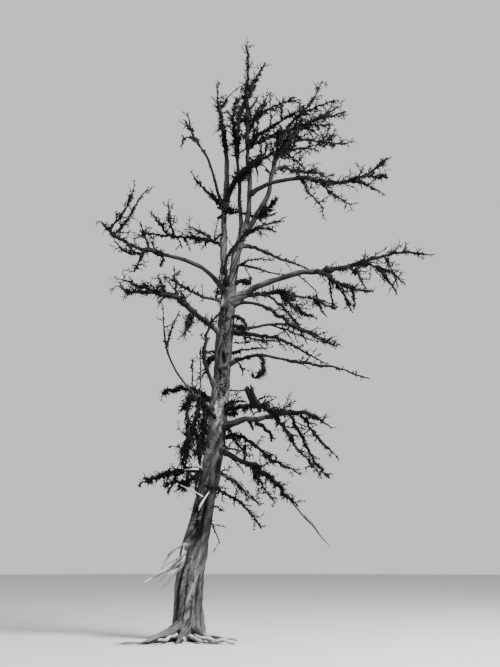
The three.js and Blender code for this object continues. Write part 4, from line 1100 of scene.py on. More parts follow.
clumpTwigs = dict(bunchGap=31, bunchCount=(5, 15), bunchWide=17, width=(8, 15), angles=(32, 105), lean=1.9,
                  clear=1.15, usualFrom=60, usualTo=0.88, usualReach=46, usualWeight=0.6, crowdGap=110,
                  lane=5.3, endReach=1.2, endLeast=0.35, tallLeast=0.42, tallMore=0.95, tallPower=1.4,
                  sizeLeast=0.4, sizeMore=0.7, sizePower=1.3, hang=-0.1, droopFrom=50, points=3,
                  gnarl=0.09, tip=0.45, tallLevel=0.9, tallSwing=1.0, tallRange=(0.35, 1.6),
                  manyLevel=0.95, manySwing=0.9, manyRange=(0.2, 1.5))
clumpDroop = dict(top=0.0, right=0.009, left=0.007, low=0.009)  # how much more the wide clumps hang
regions = dict(
    top="left_leader top_stem middle_stem leaning_stem fan_right fan_front fan_low front_diagonal high_right "
        "high_right_back high_left high_left_back".split(),
    right="upper_right_back mid_right_back mid_right_front crossing_front great_right fork_right_back "
          "fork_right_front knot_right_back knot_right_front long_right high_back".split(),
    left="upper_left great_left thin_left mid_left left_back upright_left sweeping_left hanging_left "
         "low_left middle_back".split(),
    low="front_tangle low_right low_right_under lower_right lowest_right low_back lower_back".split())
# How many side twigs a limb bears beside the usual number, and how thick its outer part is beside its solid
density = dict(top_stem=1.5, middle_stem=1.6, left_leader=1.2, leaning_stem=1.3, fan_right=1.6, fan_front=1.6,
               fan_low=1.6, high_right_back=1.3, front_diagonal=1.7, high_right=1.4, mid_left=1.4,
               crossing_front=0.7, front_tangle=1.5, low_left=1.5, hanging_left=1.4, sweeping_left=0.35,
               long_right=0.4, high_left=0.45, high_left_back=0.35, upper_right_back=0.35, mid_right_back=0.3,
               mid_right_front=0.3, thin_left=0.3, fork_right_back=1.2, fork_right_front=1.2,
               knot_right_back=0.7, knot_right_front=0.8, upright_left=0.5)
limbSlim = dict(front_diagonal=0.62, leaning_stem=0.62, fan_low=0.7, fan_front=0.75, fan_right=0.8)

# Clumps of dead shoots packed round a limb (or its fork of a number): from and to along it, how far
# they stand out and how close they are
clumps = {
    "left_leader": [(3200, 4500, 85, 1.0)], "top_stem": [(1900, 3350, 70, 0.9), (3350, 3950, 26, 0.4)],
    "top_stem.0": [(100, 1050, 60, 0.8)], "top_stem.1": [(100, 1300, 60, 0.8)],
    "top_stem.2": [(100, 1000, 60, 0.8)], "top_stem.3": [(60, 1100, 55, 0.7)],
    "middle_stem": [(1750, 2600, 90, 0.9), (2600, 4150, 105, 1.2)],
    "middle_stem.0": [(100, 1400, 105, 0.9)],
    "leaning_stem": [(1850, 2950, 42, 0.5), (2950, 3300, 40, 0.6)], "leaning_stem.0": [(100, 900, 45, 0.7)],
    "fan_right": [(300, 2300, 42, 0.6)], "fan_front": [(100, 1850, 46, 0.7)],
    "fan_low": [(100, 1900, 48, 0.7), (1900, 2500, 36, 0.6)], "fan_low.0": [(150, 350, 60, 1.1)],
    "front_diagonal": [(130, 1500, 118, 1.2), (1500, 2600, 38, 0.7)],
    "high_right": [(1150, 2350, 62, 0.9), (2350, 2900, 40, 0.6), (2900, 3080, 70, 1.1)],
    "high_right.3": [(350, 590, 70, 1.1)], "high_right_back": [(50, 1500, 60, 0.8)],
    "crossing_front": [(100, 700, 40, 0.6), (1500, 2350, 62, 0.9)], "mid_right_back": [(60, 2000, 24, 0.3)],
    "mid_right_front": [(60, 1250, 16, 0.25)], "mid_right_front.0": [(60, 1000, 16, 0.25)],
    "upper_right_back": [(60, 1500, 40, 0.6)],
    "great_right": [(2050, 2900, 62, 0.8), (2900, 4100, 55, 0.8)],
    "great_right.0": [(40, 620, 130, 1.3), (620, 1150, 66, 1.0)], "great_right.1": [(60, 900, 62, 0.8)],
    "great_right.2": [(120, 640, 62, 1.3)], "great_right.3": [(60, 1000, 55, 0.7)],
    "great_right.4": [(60, 600, 62, 0.9)], "fork_right_back": [(300, 1000, 60, 0.9), (1000, 2500, 36, 0.5)],
    "fork_right_back.0": [(60, 950, 100, 1.2)],
    "fork_right_front": [(700, 1900, 48, 0.8), (1900, 2600, 30, 0.5)],
    "knot_right_back": [(60, 420, 70, 0.8), (1300, 2100, 40, 0.6)],
    "knot_right_front": [(100, 450, 85, 0.9), (450, 1800, 35, 0.5)], "long_right": [(60, 900, 75, 0.9)],
    "upper_left": [(420, 900, 80, 0.9), (900, 2100, 45, 0.7)], "upper_left.0": [(100, 600, 45, 0.7)],
    "upper_left.1": [(60, 500, 55, 0.8)], "upper_left.2": [(60, 800, 50, 0.8)],
    "great_left": [(1500, 2300, 55, 0.8), (2300, 2950, 70, 1.0)], "great_left.0": [(60, 800, 52, 0.8)],
    "great_left.1": [(60, 800, 52, 0.8)], "great_left.2": [(60, 550, 60, 0.9)],
    "great_left.3": [(40, 550, 50, 0.8)], "great_left.4": [(60, 700, 60, 0.8)],
    "mid_left": [(380, 900, 110, 1.0), (900, 1800, 80, 1.1), (1800, 2450, 60, 1.1)],
    "mid_left.0": [(60, 850, 72, 1.1)], "mid_left.1": [(60, 580, 130, 1.2)],
    "mid_left.2": [(60, 380, 75, 1.1)], "mid_left.3": [(60, 550, 50, 0.8)],
    "left_back": [(350, 900, 95, 0.9), (900, 1500, 85, 1.1), (1500, 2000, 95, 1.1)],
    "upright_left": [(500, 1400, 45, 0.6)], "sweeping_left": [(120, 900, 80, 0.7), (1700, 2400, 22, 0.4)],
    "hanging_left": [(430, 1200, 150, 1.1)], "hanging_left.0": [(60, 880, 155, 1.1)],
    "low_left": [(150, 1400, 110, 1.1)], "front_tangle": [(80, 1250, 84, 0.7), (1250, 1700, 60, 0.9)],
    "low_right": [(1250, 2400, 70, 0.9)], "low_right.0": [(40, 700, 85, 1.0), (700, 1500, 50, 0.8)],
    "low_right.1": [(60, 1400, 62, 0.8)], "low_right.2": [(60, 850, 60, 0.8)],
    "low_right_under": [(200, 1900, 60, 0.8)],
    "lower_right": [(720, 1180, 130, 1.2), (1180, 2200, 62, 0.9)],
}

# Smaller limbs and sticks, grown as the boughs are, with their clumps; one may stand on a fork, or on
# another of these. It is in the region of what it stands on unless it says where
smallLimbs = [
    branch("leader_side", "left_leader", 4150, 840, [60, 10, 0], [85, 60, 38], [40, 16], (0, 480, 60, 0.9)),
    branch("crossing_twig", "left_leader", 1850, 1330, [-35, -30], [-8, -12, -35, 0, 15], [44, 30, 14],
           (0, 700, 135, 0.5), (700, 1300, 50, 0.5)),
    branch("under_tuft", "leaning_stem", 480, 640, [-20], [26, 44, 50], [30, 24, 20], (60, 640, 100, 1.2)),
    branch("knot_tuft", "left_leader", 1900, 330, [-60], [-20], [40, 20], (20, 320, 120, 1.1)),
    branch("leader_stub", "left_leader", 1420, 300, [190], [-45], [40, 22], (60, 290, 34, 0.7),
           region="left"),
    branch("under_twig", "leaning_stem", 660, 400, [-35], [-5], [26, 14], (40, 340, 55, 1.0)),
    branch("upright_tuft", "top_stem.1", 900, 530, [0], [90, 86], [34, 14], (60, 480, 75, 1.1)),
    branch("curled_tuft", "top_stem.3", 930, 240, [-20], [70, 10, -30], [26, 12], (40, 210, 50, 1.1)),
    branch("curl", "right_leader", 250, 430, [-32], [14, 4, -34], [92, 86, 70], (120, 430, 85, 0.9),
           region="right"),
    branch("curl_loop", "curl", 400, 260, [-20, 170], [84, 50, 8, -40], [20, 12], (20, 240, 18, 0.6)),
    branch("slab_stick", "trunk", 4750, 460, [-16], [0], [30, 24], (200, 460, 30, 0.6), region="low"),
    branch("hanging_curl", "long_right", 830, 700, [-25], [-40, -75, -105, -130, -200, -310],
           [54, 50, 40, 26, 16], (20, 470, 92, 1.5), (470, 680, 34, 0.8)),
    branch("root_twig", "long_right", 330, 360, [-40], [-50, -62, -85], [34, 26, 16], (40, 340, 30, 0.7)),
    branch("long_upper", "trunk", 5480, 1020, [-28], [10, 6, -12], [42, 28, 12], (180, 560, 70, 0.9),
           (560, 960, 34, 0.6), region="right"),
    branch("small_upper", "trunk", 5720, 560, [-24], [4, -8, 6], [26, 12], (180, 520, 55, 0.8),
           region="right"),
    branch("high_stick", "hanging_left", 800, 1060, [90], [88], [24, 12], (60, 1000, 24, 0.5)),
    branch("tufted_stick", "sweeping_left", 800, 700, [100], [89], [22, 12], (100, 440, 22, 0.5),
           (440, 690, 70, 1.0)),
    branch("trunk_tuft", "trunk", 5540, 380, [182], [-2, 4], [44, 20], (170, 380, 95, 1.1), region="left"),
    branch("upright_stick", "thin_left", 270, 760, [10], [84], [30, 16], (40, 700, 34, 0.7)),
    branch("slanting_twig", "mid_left", 430, 500, [-10], [48], [30, 16], (40, 460, 60, 0.9)),
    branch("cross_twig", "mid_left", 1150, 460, [-20], [44, 56], [22, 12], (40, 400, 16, 0.4)),
    branch("hanging_twig", "upper_left", 1220, 270, [10], [-65], [16, 8], (20, 250, 24, 0.7)),
    branch("hanging_sprig", "upper_left", 1060, 370, [5], [-55, -75], [16, 8], (20, 330, 24, 0.7)),
    branch("hanging_tuft", "great_left", 1600, 280, [190], [-75], [24, 10], (30, 260, 42, 1.0)),
    branch("left_hanging", "hanging_left", 1000, 460, [200], [-34, -62], [34, 14], (30, 430, 95, 1.1)),
    branch("trunk_hanging", "sweeping_left", 320, 420, [185], [-80], [34, 14], (60, 400, 85, 1.0)),
    branch("low_hanging", "low_left", 700, 480, [200], [-60, -75], [34, 14], (30, 460, 100, 0.9)),
    branch("thin_stick", "lower_right", 230, 720, [-40], [-30, -36, -62], [26, 12], (60, 680, 16, 0.4)),
    branch("hollow_twigs", "trunk", 1850, 900, [-84], [15, 70, 80], [34, 26, 12], (200, 880, 95, 0.8),
           region="low"),
    branch("hollow_tuft", "trunk", 2350, 620, [-100], [5, 60, 78], [34, 26, 12], (200, 600, 90, 0.8),
           region="low"),
    branch("front_twigs", "trunk", 2900, 560, [-130], [10, 30], [34, 26, 12], (220, 540, 100, 0.7),
           region="low"),
    branch("lowest_stick", "trunk", 2300, 700, [-30], [-8, -64, -66], [34, 26, 12], (300, 680, 18, 0.4),
           region="low"),
    branch("lowest_twig", "trunk", 2560, 440, [-25], [-8, -38], [24, 10], (180, 420, 42, 0.9),
           region="low"),
    # The crossing twigs of the top
    branch("cross_high", "top_stem.1", 620, 800, [60], [88, 93, 84], [28, 22, 14], (60, 700, 24, 0.5)),
    branch("cross_short", "top_stem.1", 290, 400, [200], [86], [22, 14], (40, 380, 20, 0.5)),
    branch("leaning_shoot", "leaning_stem", 1980, 440, [0], [88], [60, 48, 30], (20, 420, 60, 1.0)),
    branch("cross_upright", "front_diagonal", 1520, 480, [-60], [91], [38, 32, 24], (30, 450, 34, 0.8)),
    branch("cross_beside", "front_diagonal", 1620, 400, [-30], [93, 84], [28, 18], (30, 380, 30, 0.6)),
    branch("cross_stub", "front_diagonal", 1780, 230, [160], [66], [24, 12], (30, 210, 20, 0.5)),
    branch("cross_rising", "top_stem", 1830, 560, [-20, -30], [48, 42, 30], [38, 18], (60, 520, 40, 0.8)),
    branch("cross_level", "top_stem", 1480, 480, [-40], [12, 20], [52, 42, 26], (20, 460, 50, 0.9)),
    branch("cross_thin", "top_stem", 1620, 400, [-30], [0], [24, 14], (40, 380, 18, 0.4)),
    branch("fan_drop", "fan_front", 1000, 500, [-30], [-30, -45], [34, 16], (40, 440, 34, 0.7)),
    branch("fan_back", "fan_front", 1010, 420, [190], [-35, -55], [34, 20], (40, 400, 34, 0.7)),
    branch("diagonal_low", "front_diagonal", 700, 820, [-40], [20, 24, 36, 60], [74, 72, 60, 40],
           (40, 780, 85, 1.1)),
    branch("diagonal_drop", "diagonal_low", 600, 580, [-30], [-6, -48, -45], [32, 16], (30, 520, 40, 0.8)),
    branch("diagonal_spike", "diagonal_low", 620, 300, [-30], [-75], [36, 20], (30, 240, 22, 0.6)),
    # The hanging masses on the right
    branch("twin", "fork_right_back", 900, 1560, [-25], [-20, -36, -50, -50, -66, -60], [48, 44, 34, 16],
           (100, 1450, 34, 0.7)),
    branch("fork_cluster", "fork_right_back", 1150, 600, [-20], [28, -10, -40, -45], [72, 64, 40],
           (40, 560, 88, 1.1)),
    branch("fork_end", "fork_right_back", 2120, 620, [10], [-25, -12, -30, 10], [46, 32, 20],
           (20, 600, 75, 1.1)),
    branch("fork_hanging", "fork_end", 160, 420, [-20], [-70, -50], [30, 12], (20, 380, 36, 0.8)),
    branch("fork_stub", "fork_right_back", 1180, 190, [-60], [80], [46, 30], (20, 170, 30, 0.8)),
    branch("knot_fork", "knot_right_back", 1050, 1420, [-10], [-21, -17, -30, -22, 0, -24], [34, 26, 12],
           (100, 1300, 26, 0.5)),
    branch("knot_twig", "knot_fork", 290, 270, [-20], [-52], [20, 10], (30, 240, 14, 0.3)),
    branch("knot_arc", "trunk", 6230, 580, [-35], [10, 0, -40, -60], [72, 58, 42], (210, 560, 60, 1.0),
           region="right"),
    branch("knot_cluster", "trunk", 6050, 500, [-45], [5, -25], [62, 42], (200, 480, 85, 1.1),
           region="right"),
    branch("great_hanging", "great_right", 1560, 560, [-20], [-34, -49, -45], [32, 28, 18],
           (320, 540, 18, 0.5)),
    branch("right_hanging", "great_right.3", 420, 660, [0], [-50, -55, -48, -85], [72, 56, 30],
           (20, 420, 60, 1.0), (420, 620, 24, 0.4)),
    branch("right_upper", "great_right", 3080, 350, [-20], [45, 14], [20, 10], (60, 320, 12, 0.3)),
    branch("tail_first", "great_right.0", 250, 640, [0], [-80, -88], [32, 14], (20, 600, 32, 0.7)),
    branch("tail_middle", "great_right.0", 560, 500, [-10], [-74, -74, -40], [36, 14], (20, 460, 42, 0.8)),
    branch("tail_last", "great_right.0", 820, 430, [0], [-76, -95], [30, 12], (20, 400, 44, 0.9)),
    # The hanging masses on the left
    branch("hang_near", "hanging_left", 600, 960, [180], [-80, -88, -96], [44, 34, 16],
           (40, 940, 150, 1.1)),
    branch("hang_outer", "hanging_left", 1130, 1260, [170], [-80, -96, -80, -100], [44, 36, 16],
           (40, 1240, 165, 1.1)),
    branch("hang_middle", "hanging_left.0", 500, 760, [20], [-70, -88], [44, 34, 16], (40, 740, 155, 1.1)),
    branch("hang_spike", "hang_outer", 1000, 330, [190], [30, -6], [24, 10], (60, 200, 30, 0.7)),
    branch("hang_stick", "hang_outer", 760, 270, [190], [44], [30, 14], (20, 120, 30, 0.7)),
    branch("low_tangle", "low_left", 220, 760, [190, 170, 200], [-50, -30, 0, -40], [44, 30, 16],
           (40, 740, 115, 0.9)),
    branch("low_mass_near", "low_left", 210, 460, [-120], [-55, -75], [36, 20], (20, 440, 125, 1.2)),
    branch("low_mass_outer", "low_left", 470, 400, [180], [-75], [34, 18], (20, 380, 115, 1.2)),
    branch("low_mass_lump", "low_left", 560, 230, [180], [80], [34, 18], (20, 210, 100, 1.2)),
    branch("low_tangle_under", "trunk", 2900, 780, [-150, 180], [10, -10, -30, -20], [44, 30, 16],
           (240, 760, 100, 0.8), region="left"),
    # The tangle and what hangs on the lower right
    branch("tangle_near", "trunk", 4260, 620, [-50], [10, -4, -14], [60, 50, 30], (190, 600, 96, 0.85),
           region="low"),
    branch("tangle_above", "trunk", 4440, 760, [-60, -30], [12, 0, -4], [60, 46, 26], (190, 480, 90, 0.9),
           (480, 740, 45, 0.7), region="low"),
    branch("tangle_ring", "front_tangle", 560, 700, [-20], [-60, 20, 60, -10, -60, -120, -190],
           [36, 32, 24], (60, 680, 30, 0.8)),
    branch("tangle_arc", "front_tangle", 880, 640, [-35], [50, 20, -2, -14], [30, 20, 10],
           (60, 420, 24, 0.5)),
    branch("tangle_arc_low", "front_tangle", 1080, 480, [-50], [30, 6, 20], [26, 10], (60, 380, 18, 0.4)),
    branch("tangle_wedge", "front_tangle", 900, 640, [-30], [20, -20, -36, -22], [110, 100, 60],
           (20, 600, 50, 1.0)),
    branch("under_stick", "low_right", 260, 760, [-40], [-56, -46, -48], [28, 26, 18], (300, 740, 12, 0.3)),
    branch("under_short", "low_right", 760, 260, [-50], [-56], [50, 34], (20, 240, 34, 0.8)),
    branch("under_curl", "low_right", 880, 640, [-30], [-50, -35, -30, -66, -110], [46, 44, 30],
           (60, 620, 80, 1.1)),
    branch("under_hook", "low_right", 200, 400, [-60], [-84, -96], [40, 34, 30], (60, 380, 26, 0.8)),
    branch("under_hook_foot", "under_hook", 390, 380, [-30], [-20, -4, -36], [36, 30, 16],
           (20, 360, 24, 0.8)),
    branch("lower_tuft", "lower_right", 800, 340, [-60], [96, 82], [52, 42, 30], (60, 310, 34, 0.9)),
    branch("lower_tails", "lower_right", 900, 460, [-20], [-50, -80], [36, 14], (20, 440, 70, 0.9)),
]

home = {name: region for region, names in regions.items() for name in names}
for number, limb in enumerate(smallLimbs):
    root, draw = placeOn(lineNamed(limb["on"]), limb["at"])[0], numbers(growth["smallSeed"] + number)
    lines[limb["name"]] = dict(middleLine(limb, root, growth["smallStep"], draw), forks=[])
    home[limb["name"]] = limb.get("region", home.get(limb["on"].partition(".")[0]))

low, high = (np.array(corner) / metre for corner in solidBox)
roomLow, roomHigh = low - (high - low) * twigLook["edge"], high + (high - low) * twigLook["edge"]
roomLow[2], roomHigh[2] = twigRule["lowest"], high[2] * twigLook["topRoom"]


class Row:  # twigs of one kind: lines of points, radii and the tone each one takes
    def __init__(self, lines, radii, tones):
        self.lines, self.radii, self.tones = lines, radii, tones

    def part(self, keep):
        return Row(self.lines[keep], self.radii[keep], self.tones[keep])

    def lengths(self):
        return np.linalg.norm(np.diff(self.lines, axis=1), axis=2).sum(1)


def joined(rows):
    return Row(*(np.concatenate([getattr(row, key) for row in rows]) for key in ("lines", "radii", "tones")))


def bend(starts, middles, tips, count, gnarl):  # a curve from start to tip which leans to its middle point
    t = np.linspace(0, 1, count)[None, :, None]
    curve = starts[:, None] * (1 - t)**2 + middles[:, None] * 2 * t * (1 - t) + tips[:, None] * t**2
    size = np.linalg.norm(tips - starts, axis=1)[:, None, None] * gnarl
    return curve + rng.normal(0, 1, curve.shape) * size * np.minimum(t * 4, 1)


def shoots(parents, owner, share, kind, spread, length, width, hang, tones=None, toward=0):
    # twigs on the parents, bent by the rule of the solids' side twigs
    spot = share * (parents.lines.shape[1] - 1)
    index = np.minimum(spot.astype(int), parents.lines.shape[1] - 2)
    mix = (spot - index)[:, None]
    before, after = parents.lines[owner, index], parents.lines[owner, index + 1]
    roots = before * (1 - mix) + after * mix
    tangents = unit(after - before)
    sides = unit(np.cross(tangents, rng.normal(0, 1, tangents.shape) + toward))
    firsts = tangents * np.cos(spread)[:, None] + sides * np.sin(spread)[:, None]
    firsts = unit(firsts + up * hang[:, None] * twigRule["hangAtRoot"])
    bends = rng.uniform(-0.5, 0.5, firsts.shape) * twigRule["bend"]
    seconds = unit(firsts + bends + up * (hang[:, None] + twigRule["lift"]))
    middles = roots + firsts * length[:, None] / 2
    tips = middles + seconds * length[:, None] / 2
    curve = bend(roots, middles, tips, kind["points"], kind["gnarl"])
    thin = np.linspace(0, 1, kind["points"])[None] * (1 - kind["tip"])
    return Row(curve, width[:, None] * (1 - thin), parents.tones[owner] if tones is None else tones)


def inRoom(row):  # leaves out twigs that would leave the crown's own box or run into the trunk
    inside = ((row.lines > roomLow) & (row.lines < roomHigh)).all((1, 2))
    points, tips = lines["trunk"]["points"], row.lines[:, -1]
    x, y = (np.interp(tips[:, 2], points[:, 2], points[:, axis]) for axis in (0, 1))
    thick = np.interp(tips[:, 2], points[:, 2], trunkRadius(lines["trunk"]["places"])) * twigLook["trunkRoom"]
    clear = (np.hypot(tips[:, 0] - x, tips[:, 1] - y) > thick) | (tips[:, 2] > points[-1, 2])
    return row.part(inside & clear)


def dealt(row, gap, weight, first=0.0):  # how many shoots each parent bears, and where on it
    counts = np.round(row.lengths() * (1 - first) / gap * weight).astype(int)
    owner = np.repeat(np.arange(len(counts)), counts)
    order = np.arange(len(owner)) - np.repeat(np.cumsum(counts) - counts, counts)
    return owner, first + (1 - first) * (order + rng.uniform(0.05, 0.95, len(owner))) / counts[owner]


def between(limits, count, power=1.0):
    return limits[0] + (limits[1] - limits[0]) * rng.random(count)**power


def anglesOf(kind, count):
    return np.radians(rng.uniform(*kind["angles"], count))


def limbRow(one, low, count, seed, swayFrom, stretches):  # the row of one limb from a place on it to its tip
    look = stemTwigs
    curve, places = smoothLine(one, count=count * 2)
    at = np.linspace(low, places[-1], count)
    curve = np.stack([np.interp(at, places, curve[:, axis]) for axis in range(3)], 1)
    spots = laneSpots(at, look["knotGap"], seed * look["lane"])
    knots = 1 + look["swell"] * drift(spots, noises["knots"])
    radii = radiiAt(one["limb"], at) * knots * limbSlim.get(one["limb"].get("name"), 1)
    for first, last, reach, weight in stretches:  # a clump has a swollen core of its own
        inside = np.clip(np.minimum(at - first, last - at) / reach + 0.5, 0, 1)
        core = look["coreLevel"] + look["coreSwing"] * drift(spots * 2, noises["core"])
        core = np.clip(core, *look["coreRange"])
        radii += inside * reach * weight * look["core"] * core
    sway = radii * look["sway"] * np.clip((at - swayFrom) / look["swayReach"], 0, 1)
    curve += driftEachWay(spots) * sway[:, None]
    return Row(curve[None], radii[None], np.array([1]))


def insideAt(host, share):  # the host limb's radius at shares of its length
    return np.interp(share, np.linspace(0, 1, host.radii.shape[1]), host.radii[0])


def clumpShoots(host, number, length, stretches, droop):  # bunches of dead shoots packed round one limb
    kind, made = clumpTwigs, []
    for first, last, reach, weight in stretches:
        bunches = max(2, int((last - first) * weight / kind["bunchGap"]))
        centre = first + (last - first) * (np.arange(bunches) + rng.random(bunches)) / bunches
        crowd = drift(laneSpots(centre, kind["crowdGap"], number * kind["lane"]), noises["crowd"])
        ends = np.clip(np.minimum(centre - first, last - centre) / (reach * kind["endReach"]), 0, 1)**0.5
        tall = reach * (kind["tallLeast"] + kind["tallMore"] * rng.random(bunches)**kind["tallPower"])
        tall = tall * np.clip(kind["tallLevel"] + kind["tallSwing"] * crowd, *kind["tallRange"])
        tall *= kind["endLeast"] + (1 - kind["endLeast"]) * ends
        facing = rng.normal(0, 1, (bunches, 3)) * kind["lean"]
        many = rng.integers(*kind["bunchCount"], bunches)
        many = many * np.clip(kind["manyLevel"] + kind["manySwing"] * crowd, *kind["manyRange"])
        of = np.repeat(np.arange(bunches), np.maximum(many, 1).astype(int))
        share = np.clip(centre[of] + rng.normal(0, kind["bunchWide"], len(of)), first, last) / length
        size = tall[of] * (kind["sizeLeast"] + kind["sizeMore"] * rng.random(len(of))**kind["sizePower"])
        hang = np.full(len(of), kind["hang"] - droop * max(reach - kind["droopFrom"], 0))
        made.append(shoots(host, np.zeros(len(of), int), share, kind, anglesOf(kind, len(of)),
                           insideAt(host, share) + size, between(kind["width"], len(of)), hang,
                           tones=rng.integers(2, 4, len(of)), toward=facing[of]))
    return made


def bareShoots(host, bare, length):  # short dead spurs on the bare part of a limb
    kind, count = bareTwigs, int(bare / bareTwigs["gap"])
    share = rng.uniform(kind["first"], 1, count) * bare / length
    return shoots(host, np.zeros(count, int), share, kind, anglesOf(kind, count),
                  insideAt(host, share) + between(kind["length"], count, kind["power"]),
                  between(kind["width"], count), np.zeros(count))


def clumpStretches(one, key, start, clear):  # where clumps stand on a limb, none of them inside its carrier
    kind = clumpTwigs
    usual = [(start + kind["usualFrom"], one["limb"]["length"] * kind["usualTo"], kind["usualReach"],
              kind["usualWeight"])]
    return [(max(first, clear), *rest) for first, *rest in one["limb"].get("clumps", clumps.get(key, usual))]


def growLimbs(region, names):  # the limbs' own outer parts, the solids' side twigs and the clumps
    stemRows, sideRows, clumpRows, stemTraits, sideTraits = [], [], [], [], []
    for name in names + [limb["name"] for limb in smallLimbs if home[limb["name"]] == region]:
        line, main = lines[name], name in names
        hang = line["limb"].get("hang", 0)
        for number, one in enumerate([line] + line["forks"]):
            key = name if number == 0 else f"{name}.{number - 1}"
            if key == slab["limb"]:
                continue
            bare, length, seed = one["limb"].get("bare", 0), one["limb"]["length"], len(stemRows)
            onCarrier = number == 0 and main
            start = max(bare - stemTwigs["overlap"], 0)
            if bare == 0 and onCarrier:
                start = carrierRadius(line["limb"]) * stemTwigs["foot"]
            clear = carrierRadius(line["limb"]) * clumpTwigs["clear"] if onCarrier else 0
            stretches = clumpStretches(one, key, start, clear)
            host = limbRow(one, 0, stemTwigs["hostPoints"], seed, start, stretches)
            clumpRows += clumpShoots(host, seed, length, stretches, clumpDroop[region])
            if bare > 0:
                clumpRows.append(bareShoots(host, bare, length))
            stemRows.append(limbRow(one, start, stemTwigs["points"], seed, start, stretches))
            stemTraits.append((density.get(name, 1.0) if main else stemTwigs["smallWeight"], hang))
        for twig, radius in masses.get(name, []):
            middle = twig[1:2] * 2 - (twig[:1] + twig[2:]) / 2
            curve = bend(twig[:1], middle, twig[2:], ruleTwigs["points"], ruleTwigs["gnarl"])
            radii = radius * ruleTwigs["thick"] * np.linspace(1, ruleTwigs["tip"], ruleTwigs["points"])
            sideRows.append(Row(curve, radii[None], np.array([2])))
            sideTraits.append((density.get(name, 1.0), hang))
    return joined(stemRows), joined(sideRows), joined(clumpRows), np.array(stemTraits), np.array(sideTraits)


def growRegion(region, names):
    stems, sides, tufts, stemTraits, sideTraits = growLimbs(region, names)
    kind = sideTwigs
    owner, share = dealt(stems, kind["gap"], stemTraits[:, 0], kind["first"])
    taper, count = 1 - kind["taper"] * share, len(owner)
    extra = shoots(stems, owner, share, kind, anglesOf(kind, count),
                   between(kind["length"], count, kind["power"]) * taper,
                   between(kind["width"], count) * taper, stemTraits[owner, 1],
                   tones=rng.integers(1, 4, count))
    sides, sideTraits = joined([sides, extra]), np.concatenate([sideTraits, stemTraits[owner]])
    kind = fineTwigs
    owner, share = dealt(sides, kind["gap"], sideTraits[:, 0], kind["first"])
    count = len(owner)
    fine = shoots(sides, owner, share, kind, anglesOf(kind, count),
                  between(kind["length"], count, kind["power"]), between(kind["width"], count),
                  sideTraits[owner, 1], tones=rng.integers(1, 4, count))
    spurs = joined([spursOn(host, *spurTwigs["hosts"][name])
                    for name, host in dict(stems=stems, sides=sides, fine=fine).items()])
    brush = brushOn(sides, sideTraits[:, 0])
    return dict(stems=stems, sides=inRoom(sides), fine=inRoom(fine), spurs=inRoom(spurs), brush=inRoom(brush),
                tufts=inRoom(tufts))


def spursOn(host, apart, widen):
    kind = spurTwigs
    owner, share = dealt(host, kind["gap"] * apart, 1, kind["first"])
    count = len(owner)
    return shoots(host, owner, share, kind, anglesOf(kind, count),
                  between(kind["length"], count, kind["power"]) * widen * (1 - kind["taper"] * share),
                  between(kind["width"], count) * widen, np.zeros(count))


def brushOn(sides, weights):  # thick brush in patches, where a slow noise is high
    kind, hosts = brushTwigs, sides.lines.mean(1)
    wide, small = (drift(hosts / swing, noises["brush"] + number)
                   for number, swing in enumerate(kind["swings"]))
    crowd = wide + small * kind["smallSwing"]
    counts = np.round(np.clip(crowd + kind["more"], 0, 1) * kind["count"] * weights).astype(int)
    owner = np.repeat(np.arange(len(hosts)), counts)
    count = len(owner)
    return shoots(sides, owner, rng.uniform(*kind["places"], count), kind, anglesOf(kind, count),
                  between(kind["length"], count), np.full(count, kind["width"]), np.full(count, kind["hang"]),
                  tones=np.full(count, 3))


def tubes(row, sides):  # closed tubes round the lines of a row: their points, faces and the tone of each face
    count, steps = row.radii.shape
    tangents = unit(np.gradient(row.lines, axis=1))
    helper = np.eye(3)[np.abs(tangents.mean(1)).argmin(1)][:, None]
    side, across = sidesOf(tangents, helper)
    angle = 2 * np.pi * np.arange(sides) / sides
    ring = side[:, :, None] * np.cos(angle)[:, None] + across[:, :, None] * np.sin(angle)[:, None]
    points = row.lines[:, :, None] + ring * row.radii[:, :, None, None]
    index = np.arange(count * steps * sides).reshape(count, steps, sides)
    after = np.roll(index, -1, axis=2)
    quads = np.stack([index[:, :-1], after[:, :-1], after[:, 1:], index[:, 1:]], -1).reshape(-1, 4)
    caps = np.concatenate([index[:, 0, ::-1], index[:, -1]])
    tones = np.concatenate([np.repeat(row.tones, (steps - 1) * sides), row.tones, row.tones])
    return points.reshape(-1, 3), [quads, caps], tones


def pieceFromRows(name, rows, finishes, nodes):
    points, corners, sizes, tones, count = [], [], [], [], 0
    for row, sides in rows:
        made, faces, shades = tubes(row, sides)
        for block in faces:
            corners.append((block + count).ravel())
            sizes.append(np.full(len(block), block.shape[1]))
        points.append(made)
        tones.append(shades)
        count += len(made)
    points, corners, sizes = np.concatenate(points) * metre, np.concatenate(corners), np.concatenate(sizes)
    mesh = bpy.data.meshes.new(name)
    mesh.vertices.add(len(points))
    mesh.vertices.foreach_set("co", points.ravel())
    mesh.loops.add(len(corners))
    mesh.loops.foreach_set("vertex_index", corners)
    mesh.polygons.add(len(sizes))
    mesh.polygons.foreach_set("loop_start", np.cumsum(sizes) - sizes)
    mesh.update(calc_edges=True)
    mesh.validate()
    piece = bpy.data.objects.new(name, mesh)
    bpy.context.collection.objects.link(piece)
    finishPiece(piece, finishes, nodes)
    mesh.polygons.foreach_set("material_index", np.concatenate(tones))
    faces = int((sizes - 2).sum())
    print(name, faces, "triangles")
    return faces


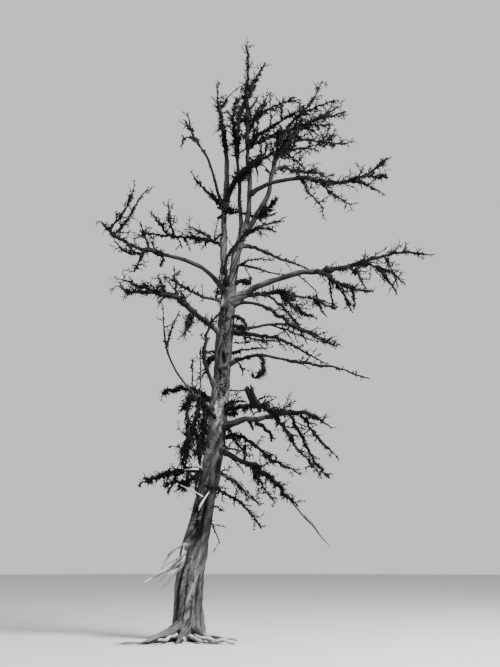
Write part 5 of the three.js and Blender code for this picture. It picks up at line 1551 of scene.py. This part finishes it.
def makeTwigs():
    finishes = [twigFinish(f"dry twig {number}", tone) for number, tone in enumerate(twigLook["tones"])]
    total = 0
    for region, names in regions.items():
        rows, nodes = growRegion(region, names), [name + "_twigs" for name in names]
        thick = [(rows["stems"], twigLook["stemSides"]), (rows["sides"], twigLook["sideSides"])]
        total += pieceFromRows(region + "Stems", thick, finishes, nodes)
        for kind in ("fine", "spurs", "brush", "tufts"):
            total += pieceFromRows(region + kind.capitalize(), [(rows[kind], 3)], finishes, nodes)
    print("twigs in all:", total, "triangles")


makeTwigs()


# Floor, light and camera, in metres
setting = dict(floorTone=0.5, floorRough=0.9, floorRadius=60, floorCorners=96, skyTone=0.62, skyStrength=1.3,
               keyPower=14000, keyPlace=(13, -10, 15), keyAim=(1, 0, 5), keySize=6, fillPower=700,
               fillPlace=(-12, -9, 8),
               fillAim=(1, 0, 6), fillSize=9, lens=54, sensor=36, farthest=300,
               cameraPlace=(1.18, -19.5, 1.6), cameraRise=12.35)


def makeFloor():
    bpy.ops.object.select_all(action="DESELECT")
    bpy.ops.mesh.primitive_circle_add(vertices=setting["floorCorners"], radius=setting["floorRadius"],
                                      fill_type="NGON")
    floor = bpy.context.object
    floor.name = "floor"
    paleFloor = Finish("pale floor")
    tone = grey(setting["floorTone"])
    floor.data.materials.append(paleFloor.set(Base_Color=tone, Roughness=setting["floorRough"]))


def makeSky():
    world = bpy.data.worlds.new("pale sky")
    bpy.context.scene.world = world
    world.use_nodes = True
    sky = world.node_tree.nodes["Background"].inputs
    sky["Color"].default_value = grey(setting["skyTone"])
    sky["Strength"].default_value = setting["skyStrength"]


def softLight(name):
    place, aim = Vector(setting[name + "Place"]), Vector(setting[name + "Aim"])
    bpy.ops.object.light_add(type="AREA", location=place)
    light = bpy.context.object
    light.name = name + " light"
    light.data.shape = "DISK"
    light.data.size, light.data.energy = setting[name + "Size"], setting[name + "Power"]
    light.rotation_euler = (aim - place).to_track_quat("-Z", "Y").to_euler()


def makeCamera():
    bpy.ops.object.camera_add(location=setting["cameraPlace"],
                              rotation=(math.radians(90 + setting["cameraRise"]), 0, 0))
    camera = bpy.context.object
    camera.data.lens, camera.data.sensor_width = setting["lens"], setting["sensor"]
    camera.data.clip_end = setting["farthest"]
    bpy.context.scene.camera = camera


makeFloor()
makeSky()
softLight("key")
softLight("fill")
makeCamera()

print("scene ready")
